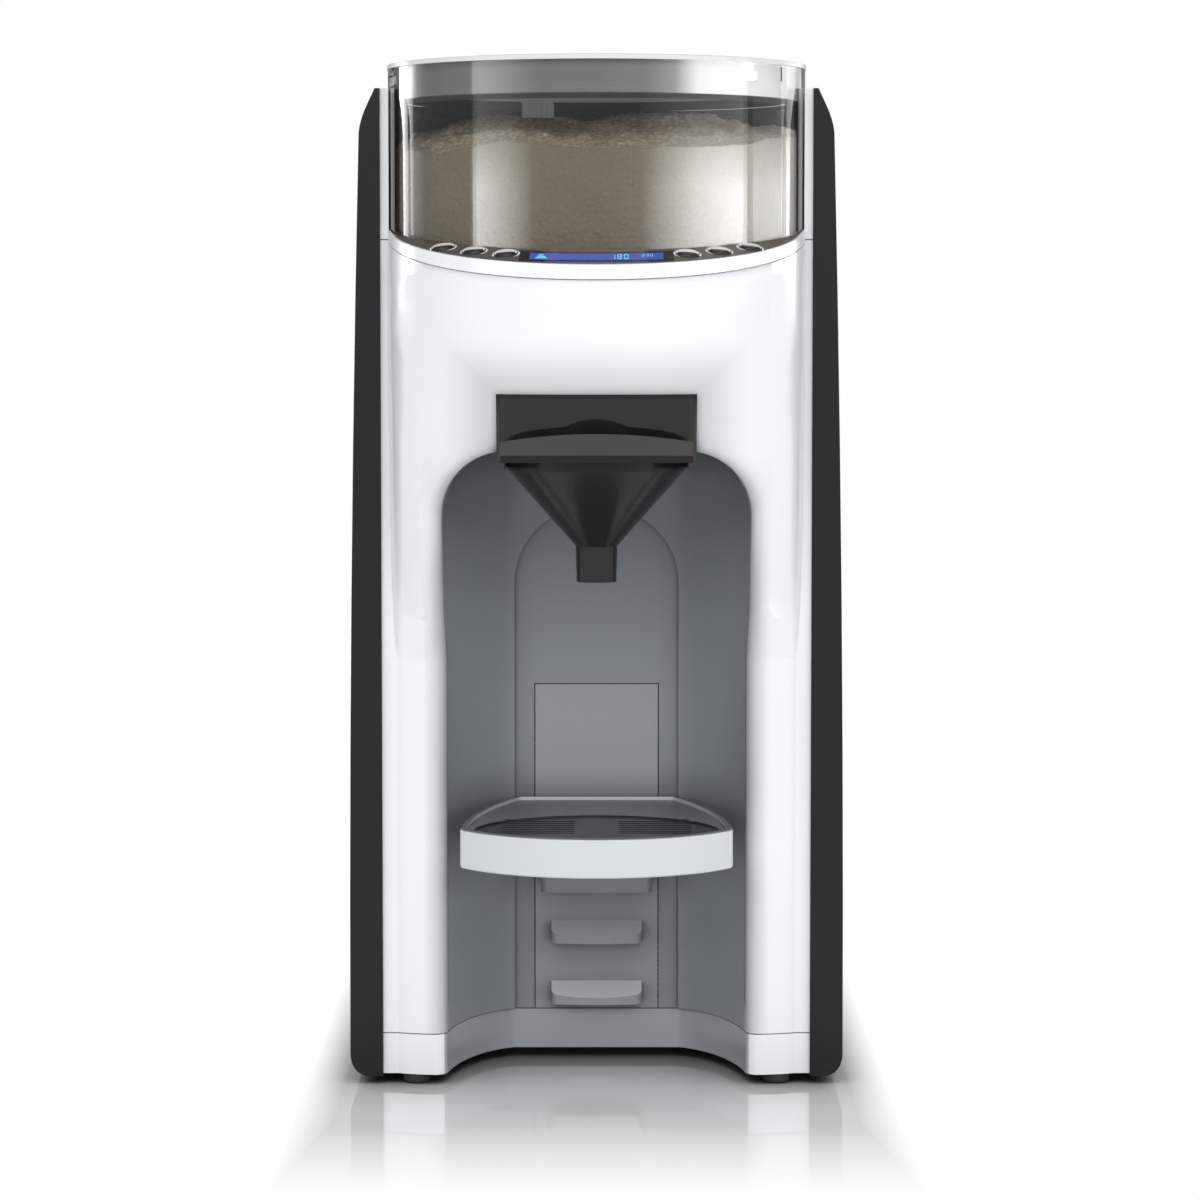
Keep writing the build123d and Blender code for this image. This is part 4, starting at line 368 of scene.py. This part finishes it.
def funnel_tone_light_and_shade(tree, place):
    """Body colour of the funnel: dark, with painted light on its front lip and on the wings behind that,
    and painted shade on its spout.
    """
    lip = box_mask(tree, place, *LIP_BOX)
    wings = box_mask(tree, place, *WING_BOX)
    spout = box_mask(tree, place, *SPOUT_BOX)
    colour = blend_colour(tree, lip, (0.021, 0.021, 0.021), (0.076, 0.074, 0.069))
    colour = blend_colour(tree, wings, colour, (0.22, 0.215, 0.205))
    return blend_colour(tree, spout, colour, (0.020, 0.020, 0.022))


# The inside of the frame glows faintly: painted light.
finish_nodes(plastic("holder_black", (0.02, 0.021, 0.022), 0.42, 0.12, 1500.0,
                     glow=(0.035, 0.035, 0.034), box=HOLDER_BOX), "funnel_holder")
finish_nodes(thin_clear("smoke_clear", (0.34, 0.34, 0.35), (0.10, 0.10, 0.10), 0.16, 0.03, funnel_tone_light_and_shade),
             "funnel")

# ---- Control panel ---------------------------------------------------------------------------------
# A cone of metallic paint round the foot of the container, with a black window, a lit blue display
# that shows plain numbers, and six dished chrome keys, each with a dark patch in front that is a
# painted reflection, and a raised ring pressed into the panel round it.
LEAN, SLOPE = math.radians(7.0), math.radians(10.0)
CONE_CENTRE, CONE_RADIUS = np.array([0.0, -0.046, 0.33075]), 0.0805
DISPLAY_INNER, DISPLAY_OUTER, DISPLAY_HALF = 0.0055, 0.0140, 0.0243
SCREEN_LIFT, MARK_LIFT = 0.00012, 0.00020
BAR_LEFT, BAR_RIGHT, BAR_OUTER, BAR_INNER = -0.0222, -0.0180, 0.0126, 0.0114
BAR_GROWTH, BAR_PITCH = 0.0006, 0.0019
DIGIT_PITCH = 1.5
SEGMENTS = {"0": "abcdef", "1": "bc", "2": "abged", "3": "abgcd", "8": "abcdefg"}
SEGMENT_BOXES = {"a": (0.1, 0.88, 0.9, 1.0), "b": (0.82, 0.54, 1.0, 0.94), "c": (0.82, 0.06, 1.0, 0.46),
                 "d": (0.1, 0.0, 0.9, 0.12), "e": (0.0, 0.06, 0.18, 0.46), "f": (0.0, 0.54, 0.18, 0.94),
                 "g": (0.1, 0.44, 0.9, 0.56)}
KEY_GAP_RADIUS, RING_RADIUS, RING_DROP, RING_DEPTH = 0.00445, 0.0053, 0.0006, 0.0009
REFLECTION_DISC, REFLECTION_ARC, ARC_SHIFT = 0.92, 1.36, 1.45


def add_piece(mesh, material, body):
    """An object for a finished mesh, with its material, riding on a body; most keep to a slot."""
    piece = bpy.data.objects.new(mesh.name, mesh)
    bpy.context.scene.collection.objects.link(piece)
    mesh.materials.append(material)
    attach(piece, body)


def panel_points(across, outward, lift):
    """Points on the leaning cone: r = CONE_RADIUS + outward and z = lift - outward sin SLOPE."""
    radius = CONE_RADIUS + outward
    local_y = -np.sqrt(radius ** 2 - across ** 2)
    local_z = lift - outward * math.sin(SLOPE)
    return CONE_CENTRE + np.stack([across, local_y * math.cos(LEAN) - local_z * math.sin(LEAN),
                                   local_y * math.sin(LEAN) + local_z * math.cos(LEAN)], -1)


def panel_patch(low, high, lift, columns=2, rows=2):
    """Rows of points for a thin patch of the cone between two (across, outward) corners."""
    across, outward = np.meshgrid(np.linspace(low[0], high[0], columns),
                                  np.linspace(high[1], low[1], rows))
    return panel_points(across, outward, lift)


paint, tree, shader, place = new_material("bezel_paint")
flakes = add_node(tree, "TexVoronoi", {"Vector": place, "Scale": 2600.0}).outputs["Distance"]
flake_bump = add_node(tree, "Bump", {"Height": flakes, "Strength": 0.10, "Distance": 0.0001})
sheen = add_node(tree, "TexNoise", {"Vector": place, "Scale": 30.0, "Detail": 2.0}).outputs["Fac"]
colour = blend_colour(tree, sheen, (0.19, 0.165, 0.145), (0.26, 0.235, 0.215))
tree.links.new(colour, shader.inputs["Base Color"])
tree.links.new(flake_bump.outputs[0], shader.inputs["Normal"])
shader.inputs["Metallic"].default_value = 0.85
shader.inputs["Roughness"].default_value = 0.34
finish_nodes(paint, "control_bezel")
finish_nodes(plastic("window_black", (0.008, 0.008, 0.009), 0.07, 0.01, 300.0, 0.02, shine=0.15),
             "display_window")

display, tree, shader, place = new_material("display_blue")
cells = add_node(tree, "TexVoronoi", {"Vector": place, "Scale": 4200.0}).outputs["Distance"]
tree.links.new(remap(tree, cells, 0.0, 0.6, 1.0, 0.86), shader.inputs["Emission Strength"])
shader.inputs["Base Color"].default_value = (0.01, 0.012, 0.04, 1)
shader.inputs["Roughness"].default_value = 0.08
shader.inputs["Specular IOR Level"].default_value = 0.08
shader.inputs["Emission Color"].default_value = (0.040, 0.082, 0.45, 1)
screen = panel_patch((-DISPLAY_HALF, DISPLAY_INNER), (DISPLAY_HALF, DISPLAY_OUTER), SCREEN_LIFT, 41, 9)
add_piece(grid_mesh("display_screen", screen), display, "machine")

glyphs, tree, shader, place = new_material("display_glyphs")
fleck = add_node(tree, "TexNoise", {"Vector": place, "Scale": 3000.0}).outputs["Fac"]
tree.links.new(remap(tree, fleck, low=0.85, high=1.05), shader.inputs["Emission Strength"])
shader.inputs["Base Color"].default_value = (0.02, 0.05, 0.06, 1)
shader.inputs["Emission Color"].default_value = (0.20, 0.75, 0.95, 1)


def number_patches(digits, left, near, width, tall):
    """Patches for a row of digits made of straight segments, read from the user's side."""
    patches = []
    for position, digit in enumerate(digits):
        start = left + position * width * DIGIT_PITCH
        for segment in SEGMENTS[digit]:
            x_low, y_low, x_high, y_high = SEGMENT_BOXES[segment]
            patches.append(panel_patch((start + x_low * width, near - y_high * tall),
                                       (start + x_high * width, near - y_low * tall), MARK_LIFT))
    return patches


bars = [panel_patch((BAR_LEFT + step * BAR_GROWTH, BAR_OUTER - step * BAR_PITCH),
                    (BAR_RIGHT - step * BAR_GROWTH, BAR_INNER - step * BAR_PITCH), MARK_LIFT)
        for step in range(3)]
large = number_patches("180", 0.0052, 0.0128, 0.0016, 0.0060)
small = number_patches("230", 0.0165, 0.0100, 0.0010, 0.0030)
mark_corners = np.concatenate([patch.reshape(4, 3) for patch in bars + large + small])
mark_faces = [(first, first + 1, first + 3, first + 2) for first in range(0, len(mark_corners), 4)]
mark_mesh = bpy.data.meshes.new("display_marks")
mark_mesh.from_pydata(mark_corners.tolist(), [], mark_faces)
add_piece(mark_mesh, glyphs, "machine")


def key_place(number):
    """The middle of one key's top and the way it faces, square to the leaning cone."""
    key = nodes[f"button_{number}"].data
    points = np.empty(len(key.vertices) * 3)
    key.vertices.foreach_get("co", points)
    points = points.reshape(-1, 3)
    middle = points.mean(axis=0)
    across, back, up = middle - CONE_CENTRE
    back = back * math.cos(LEAN) + up * math.sin(LEAN)
    tall, flat = math.cos(SLOPE), math.sin(SLOPE) / math.hypot(across, back)
    facing = np.array([across * flat, back * flat * math.cos(LEAN) - tall * math.sin(LEAN),
                       back * flat * math.sin(LEAN) + tall * math.cos(LEAN)])
    lift = (points @ facing).max() - middle @ facing
    return middle + lift * facing, facing


def key_chrome(number, middle, facing):
    """Chrome for one key and its ring with a painted reflection, black in front of an arc that joins the
    ring's two sides; its steep sides are darker.
    """
    material, tree, shader, place = new_material(f"key_chrome_{number}")
    centre = vector_maths(tree, "SUBTRACT", place, tuple(middle))
    flat = vector_maths(tree, "MULTIPLY", centre, (1, 1, 0))
    ahead = vector_maths(tree, "ADD", flat, (0, ARC_SHIFT * RING_RADIUS, 0))
    in_disc = maths(tree, "LESS_THAN", vector_maths(tree, "LENGTH", flat), REFLECTION_DISC * RING_RADIUS)
    in_arc = maths(tree, "LESS_THAN", vector_maths(tree, "LENGTH", ahead), REFLECTION_ARC * RING_RADIUS)
    dark_reflection = maths(tree, "MULTIPLY", in_disc, in_arc)
    normal = add_node(tree, "NewGeometry").outputs["True Normal"]
    level = vector_maths(tree, "DOT_PRODUCT", normal, tuple(facing))
    colour = blend_colour(tree, dark_reflection, (0.90, 0.90, 0.89), (0.012, 0.012, 0.012))
    colour = blend_colour(tree, remap(tree, level, 0.30, 0.45), (0.06, 0.055, 0.05), colour)
    wear = add_node(tree, "TexNoise", {"Vector": place, "Scale": 400.0, "Detail": 3.0}).outputs["Fac"]
    tree.links.new(colour, shader.inputs["Base Color"])
    tree.links.new(remap(tree, wear, low=0.14, high=0.24), shader.inputs["Roughness"])
    shader.inputs["Metallic"].default_value = 0.25
    return material


ring_turn = np.linspace(0, 2 * math.pi, 65)[:-1]
ring_section = np.array([(KEY_GAP_RADIUS, -RING_DEPTH), (KEY_GAP_RADIUS, -0.0001),
                         (KEY_GAP_RADIUS + 0.0002, 0.0), (RING_RADIUS - 0.0004, -0.0001),
                         (RING_RADIUS, -0.0004), (RING_RADIUS, -RING_DEPTH),
                         (KEY_GAP_RADIUS, -RING_DEPTH)])
for number in range(1, 7):
    middle, facing = key_place(number)
    chrome = key_chrome(number, middle, facing)
    finish_nodes(chrome, f"button_{number}")
    sideways = np.cross(facing, (0.0, -1.0, 0.0))
    sideways /= np.linalg.norm(sideways)
    onward = np.cross(facing, sideways)
    spokes = np.cos(ring_turn)[:, None] * sideways + np.sin(ring_turn)[:, None] * onward
    foot = middle - RING_DROP * facing
    ring = foot + ring_section[:, 0, None, None] * spokes + ring_section[:, 1, None, None] * facing
    add_piece(grid_mesh(f"key_ring_{number}", ring, closed=True), chrome, "machine")

# ---- Container, powder and index mark --------------------------------------------------------------
# The clear container turns on its hub in the seat. The powder lies against its wall, heaped towards
# the back, crumbly on top and pressed smooth where it meets the glass; its upper faces are also painted
# lighter, painted light. Upright light bands are painted into its tone, and the brightest of them
# glow, painted light. A dark printed stroke on the wall's upper edge shows where the lid locks.
AXIS_Y = -0.046
JAR_RADIUS, JAR_WALL, JAR_FLOOR_TOP, JAR_CORNER = 0.080, 0.0022, 0.311, 0.0098
WHEEL_RADIUS, WHEEL_TOP = 0.0704, 0.3206
POWDER_GAP, POWDER_CORE = 0.0003, 0.0004
POWDER_RADIUS = JAR_RADIUS - JAR_WALL - POWDER_GAP
FRONT_X = (-0.072, -0.058, -0.034, 0.0, 0.035, 0.055, 0.070)
FRONT_Z = (0.3590, 0.3572, 0.3608, 0.3578, 0.3585, 0.3600, 0.3640)
CREST_X = (-0.072, -0.045, -0.018, -0.004, 0.020, 0.045, 0.062, 0.075)
CREST_Z = (0.3700, 0.3748, 0.3722, 0.3728, 0.3765, 0.3758, 0.3700, 0.3715)
HEAP_DEPTH, PRESSED_DEPTH = 0.045, 0.006
# height, size and seed of the lumps
CRUMBS = (0.0015, 0.011, 3), (0.0011, 0.0045, 5), (0.0008, 0.0020, 7)
FINE_CRUMBS = 0.0003, 0.0030, 9
LATTICE = 64
# Painted light, set against the photograph from the front: share of the container's width,
# and how bright the light bands are there. They stay in place when the view moves.
BANDS = ((0.03, 0.02), (0.056, 1.0), (0.078, 0.45), (0.10, 0.12), (0.210, 0.11), (0.213, 0.42),
         (0.29, 0.26), (0.37, 0.10), (0.50, 0.08), (0.62, 0.16), (0.68, 0.40), (0.73, 0.70),
         (0.79, 0.86), (0.847, 0.88), (0.850, 0.72), (0.93, 0.70), (0.945, 1.0), (0.975, 1.0),
         (0.99, 0.30))
STROKE_X, STROKE_HALF_TURN, STROKE_LIFT = 0.0690, 0.0075, 0.0001
STROKE_TOP, STROKE_FOOT = 0.3895, 0.3840
finish_nodes(thin_clear("container_clear", (0.88, 0.88, 0.87), (0.06, 0.06, 0.065), 0.02, 0.055),
             "powder_container")


def glass_bands(tree, place):
    """Brightness of the painted light bands, from the container's left side to its right."""
    across = add_node(tree, "SeparateXYZ", {0: place}).outputs["X"]
    ramp = add_node(tree, "ValToRGB", {0: remap(tree, across, -JAR_RADIUS, JAR_RADIUS)})
    stops = ramp.color_ramp.elements
    for position, level in BANDS:
        stops.new(position).color = (level, level, level, 1)
    stops.remove(stops[0])
    stops.remove(stops[-1])
    return ramp.outputs["Color"]


def lumps(x, y, size, seed):
    """Smooth random heights from -1 to 1 on a square lattice of the given cell size."""
    grid = np.random.default_rng(seed).uniform(-1, 1, (LATTICE, LATTICE))
    u, v = x / size + LATTICE / 2, y / size + LATTICE / 2
    column, row = np.floor(u).astype(int), np.floor(v).astype(int)
    s, t = u - column, v - row
    s, t = s * s * (3 - 2 * s), t * t * (3 - 2 * t)
    left, right = column % LATTICE, (column + 1) % LATTICE
    low, high = row % LATTICE, (row + 1) % LATTICE
    near = grid[low, left] * (1 - s) + grid[low, right] * s
    far = grid[high, left] * (1 - s) + grid[high, right] * s
    return near * (1 - t) + far * t


def powder_height(x, y):
    """Top of the powder: line + (crest - line)(1 - exp(-depth / HEAP_DEPTH)) + crumbs.

    line is its wavy edge on the front glass, crest the ridge behind it, and depth how far a point
    lies behind the glass."""
    front = AXIS_Y - np.sqrt(np.maximum(POWDER_RADIUS ** 2 - x ** 2, 0))
    depth = np.maximum(y - front, 0)
    line, crest = np.interp(x, FRONT_X, FRONT_Z), np.interp(x, CREST_X, CREST_Z)
    crumbs = sum(height * lumps(x, y, size, seed) for height, size, seed in CRUMBS)
    height, size, seed = FINE_CRUMBS
    rough = np.minimum(depth / PRESSED_DEPTH, 1) * crumbs + height * lumps(x, y, size, seed)
    return line + (crest - line) * (1 - np.exp(-depth / HEAP_DEPTH)) + rough


def round_points(radius, turn, z):
    """Points round the container's axis: x = radius sin turn, y = AXIS_Y - radius cos turn."""
    points = np.broadcast_arrays(radius * np.sin(turn), AXIS_Y - radius * np.cos(turn), z)
    return np.stack(points, -1)


turn = np.linspace(0, 2 * math.pi, 361)[:-1]
rings = np.concatenate([[POWDER_CORE], np.linspace(0.001, POWDER_RADIUS, 110)])
top = round_points(rings[:, None], turn, 0.0)
top[:, :, 2] = powder_height(top[:, :, 0], top[:, :, 1])
edge_z = top[-1, :, 2]
side = round_points(POWDER_RADIUS, turn, edge_z + (WHEEL_TOP - edge_z) * np.linspace(0, 1, 25)[1:, None])
bend = np.linspace(0, math.pi / 2, 9)[1:]
corner_r = np.maximum(POWDER_RADIUS - JAR_CORNER * (1 - np.cos(bend)), WHEEL_RADIUS)
corner_z = WHEEL_TOP - (WHEEL_TOP - JAR_FLOOR_TOP - POWDER_GAP) * np.sin(bend)
foot_r = np.concatenate([corner_r, [WHEEL_RADIUS, WHEEL_RADIUS, POWDER_CORE]])
foot_z = np.concatenate([corner_z, [JAR_FLOOR_TOP + POWDER_GAP, WHEEL_TOP, WHEEL_TOP]])
foot = round_points(foot_r[:, None], turn, foot_z[:, None])
powder_points = np.concatenate([top, side, foot])

powder, tree, shader, place = new_material("milk_powder")
grain = add_node(tree, "TexNoise", {"Vector": place, "Scale": 1400.0, "Detail": 3.0}).outputs["Fac"]
clumps = add_node(tree, "TexNoise", {"Vector": place, "Scale": 120.0, "Detail": 4.0, "Roughness": 0.7})
crumb = add_node(tree, "TexVoronoi", {"Vector": place, "Scale": 520.0, "Randomness": 1.0})
crumb = remap(tree, crumb.outputs["Distance"], 0.15, 0.75)
bands = glass_bands(tree, place)
pressed = blend_colour(tree, clumps.outputs["Fac"], (0.205, 0.150, 0.096), (0.270, 0.206, 0.138))
pressed = blend_colour(tree, bands, pressed, (1.0, 0.97, 0.90))
loose = blend_colour(tree, crumb, (0.85, 0.70, 0.52), (0.22, 0.17, 0.12))
loose = blend_colour(tree, grain, loose, (0.46, 0.37, 0.27))
loose = blend_colour(tree, maths(tree, "MULTIPLY", bands, 0.4), loose, (0.90, 0.84, 0.76))
# Upward faces take the crumbly colour: a real crumbly texture, painted lighter as painted light.
open_top = remap(tree, facing_along(tree, "Z"), 0.2, 0.6)
relief = maths(tree, "SUBTRACT", grain, crumb)
heap_bump = add_node(tree, "Bump", {"Height": relief, "Strength": 0.6, "Distance": 0.0008})
# The brightest bands glow: painted light.
band_glow = remap(tree, bands, 0.90, 1.0, high=0.5)
tree.links.new(blend_colour(tree, open_top, pressed, loose), shader.inputs["Base Color"])
tree.links.new(heap_bump.outputs[0], shader.inputs["Normal"])
tree.links.new(band_glow, shader.inputs["Emission Strength"])
shader.inputs["Roughness"].default_value = 0.9
shader.inputs["Specular IOR Level"].default_value = 0.1
shader.inputs["Emission Color"].default_value = (1.0, 0.96, 0.90, 1)
add_piece(grid_mesh("powder", powder_points, closed=True, capped=True), powder, "container")

mark_ink, tree, shader, place = new_material("mark_ink")
speck = add_node(tree, "TexNoise", {"Vector": place, "Scale": 2500.0}).outputs["Fac"]
tree.links.new(remap(tree, speck, low=0.35, high=0.55), shader.inputs["Roughness"])
shader.inputs["Base Color"].default_value = (0.012, 0.012, 0.012, 1)
stroke_middle = math.asin(STROKE_X / JAR_RADIUS)
stroke_turn, stroke_z = np.meshgrid(np.linspace(-STROKE_HALF_TURN, STROKE_HALF_TURN, 5) + stroke_middle,
                                    np.linspace(STROKE_TOP, STROKE_FOOT, 5))
stroke = round_points(JAR_RADIUS + STROKE_LIFT, stroke_turn, stroke_z)
add_piece(grid_mesh("index_mark", stroke), mark_ink, "container")

# ---- Scraper, dosing wheel and seal ----------------------------------------------------------------
# Satin grey scraper with its upright post, whose top reaches up under the lid with painted upright
# highlights and a faint painted glow; a dark dosing wheel that the drive turns; soft black rubber for
# the seal and the feet.
POST_AT, POST_HALF_WIDTH, POST_HALF_DEPTH = (-0.0235, 0.0232), 0.0064, 0.0013
POST_FOOT, POST_SHOULDER, POST_RIM, POST_TOP = 0.3700, 0.3820, 0.3836, 0.3840
POST_CORNER, POST_TAPER = 0.3, 0.93


def squared_off(wave):
    """sign(wave) |wave| ^ POST_CORNER, which turns a circle into a box with round corners."""
    return np.sign(wave) * np.abs(wave) ** POST_CORNER


post_turn = np.linspace(0, 2 * math.pi, 49)[:-1]
post_z = np.concatenate([np.linspace(POST_FOOT, POST_SHOULDER, 7), [POST_RIM, POST_TOP]])[:, None]
post_share = np.where(post_z < POST_TOP, 1.0, POST_TAPER)
post = np.stack(np.broadcast_arrays(
    POST_AT[0] + POST_HALF_WIDTH * post_share * squared_off(np.cos(post_turn)),
    POST_AT[1] + POST_HALF_DEPTH * post_share * squared_off(np.sin(post_turn)), post_z), -1)
# Upright painted highlights and a faint painted glow on the post's top.
post_highlights, tree, shader, place = new_material("post_painted_highlights")
stretch = add_node(tree, "Mapping", {"Vector": place, "Scale": (900.0, 900.0, 30.0)})
highlight_streaks = add_node(tree, "TexNoise", {"Vector": stretch.outputs[0], "Scale": 1.0, "Detail": 4.0})
colour = blend_colour(tree, highlight_streaks.outputs["Fac"], (0.30, 0.30, 0.31), (0.80, 0.80, 0.82))
tree.links.new(colour, shader.inputs["Base Color"])
tree.links.new(colour, shader.inputs["Emission Color"])
shader.inputs["Emission Strength"].default_value = 0.16
shader.inputs["Roughness"].default_value = 0.35
add_piece(grid_mesh("scraper_post_top", post, closed=True, capped=True), post_highlights, "container")
finish_nodes(plastic("scraper_grey", (0.30, 0.31, 0.32), 0.30, 0.10, 1200.0), "scraper")
finish_nodes(plastic("wheel_dark", (0.05, 0.05, 0.052), 0.40, 0.10, 1200.0), "dosing_wheel",
             "drive_coupler", "container_seat", "tank_seat", "tank_valve")
finish_nodes(plastic("soft_rubber", (0.020, 0.020, 0.020), 0.60, 0.20, 900.0), "lid_seal", "feet")

# ---- Lid skirt -------------------------------------------------------------------------------------
# Silver grey skirt under the lid, brushed round: fine level lines in its tone, gloss and relief. It
# carries the powder's painted light bands, which also glow. Its inner face at the back is painted
# dark, painted shade, with a paler strip close under the lid that is painted light and glows faintly.
LINING_FOOT, STRIP_FOOT, LINING_TOP, LINING_BACK = 0.30, 0.3819, 0.40, 0.05
skirt, tree, shader, place = new_material("skirt_brushed")
stretch = add_node(tree, "Mapping", {"Vector": place, "Scale": (6.0, 6.0, 1800.0)})
lines = add_node(tree, "TexNoise", {"Vector": stretch.outputs[0], "Scale": 1.0, "Detail": 4.0,
                                    "Roughness": 0.7}).outputs["Fac"]
bands = glass_bands(tree, place)
# Painted shade on the inner back face, and painted light on a strip close under the lid.
inward = maths(tree, "LESS_THAN", facing_along(tree, "Y"), -0.3)
lining_shade, strip_light = [maths(tree, "MULTIPLY", inward, box_mask(tree, place, (-JAR_RADIUS, AXIS_Y, foot_level),
                                                          (JAR_RADIUS, LINING_BACK, LINING_TOP)))
                 for foot_level in (LINING_FOOT, STRIP_FOOT)]
colour = blend_colour(tree, lines, (0.17, 0.17, 0.175), (0.26, 0.26, 0.265))
colour = blend_colour(tree, bands, colour, (1.0, 1.0, 1.0))
colour = blend_colour(tree, lining_shade, colour, (0.03, 0.03, 0.03))
colour = blend_colour(tree, strip_light, colour, (0.60, 0.60, 0.61))
# The bands glow: painted light.
band_glow = remap(tree, bands, 0.40, 0.72, high=0.55)
band_glow = add_node(tree, "CombineXYZ", {0: band_glow, 1: band_glow, 2: band_glow}).outputs[0]
band_glow = blend_colour(tree, lining_shade, band_glow, (0.0, 0.0, 0.0))
band_glow = blend_colour(tree, strip_light, band_glow, (0.07, 0.07, 0.07))
brush_bump = add_node(tree, "Bump", {"Height": lines, "Strength": 0.15, "Distance": 0.0001})
tree.links.new(colour, shader.inputs["Base Color"])
tree.links.new(remap(tree, lines, low=0.22, high=0.40), shader.inputs["Roughness"])
tree.links.new(brush_bump.outputs[0], shader.inputs["Normal"])
tree.links.new(band_glow, shader.inputs["Emission Color"])
shader.inputs["Emission Strength"].default_value = 1.0
shader.inputs["Metallic"].default_value = 0.15
finish_nodes(skirt, "lid_skirt")

# ---- Water tank and the works inside ---------------------------------------------------------------
# Smoky tank at the back; steel boiler, motor, nozzle, pin and screws; milky hoses; green boards.
finish_nodes(thin_clear("tank_clear", (0.55, 0.56, 0.58), (0.12, 0.12, 0.13), 0.05), "water_tank")
finish_nodes(plastic("pump_black", (0.035, 0.035, 0.037), 0.45, 0.12, 1200.0), "pump", "display_module")
finish_nodes(plastic("hose_milky", (0.62, 0.62, 0.60), 0.45, 0.05, 800.0), "hose_tank_pump",
             "hose_pump_heater", "hose_heater_nozzle")

steel, tree, shader, place = new_material("drawn_steel")
drawn = add_node(tree, "Mapping", {"Vector": place, "Scale": (40.0, 40.0, 1500.0)})
lines = add_node(tree, "TexNoise", {"Vector": drawn.outputs[0], "Scale": 1.0, "Detail": 3.0})
gloss = remap(tree, lines.outputs["Fac"], low=0.18, high=0.34)
tree.links.new(gloss, shader.inputs["Roughness"])
shader.inputs["Metallic"].default_value = 1.0
shader.inputs["Base Color"].default_value = (0.62, 0.61, 0.60, 1)
finish_nodes(steel, "heater", "gear_motor", "water_nozzle", "tank_lid_pin", "case_screws")

board, tree, shader, place = new_material("board_green")
tracks = add_node(tree, "TexBrick", {"Vector": place, "Scale": 220.0,
                                     "Color1": (0.012, 0.085, 0.035, 1),
                                     "Color2": (0.015, 0.100, 0.042, 1),
                                     "Mortar": (0.030, 0.16, 0.070, 1)})
tree.links.new(tracks.outputs["Color"], shader.inputs["Base Color"])
shader.inputs["Roughness"].default_value = 0.35
finish_nodes(board, "main_board", "control_board")
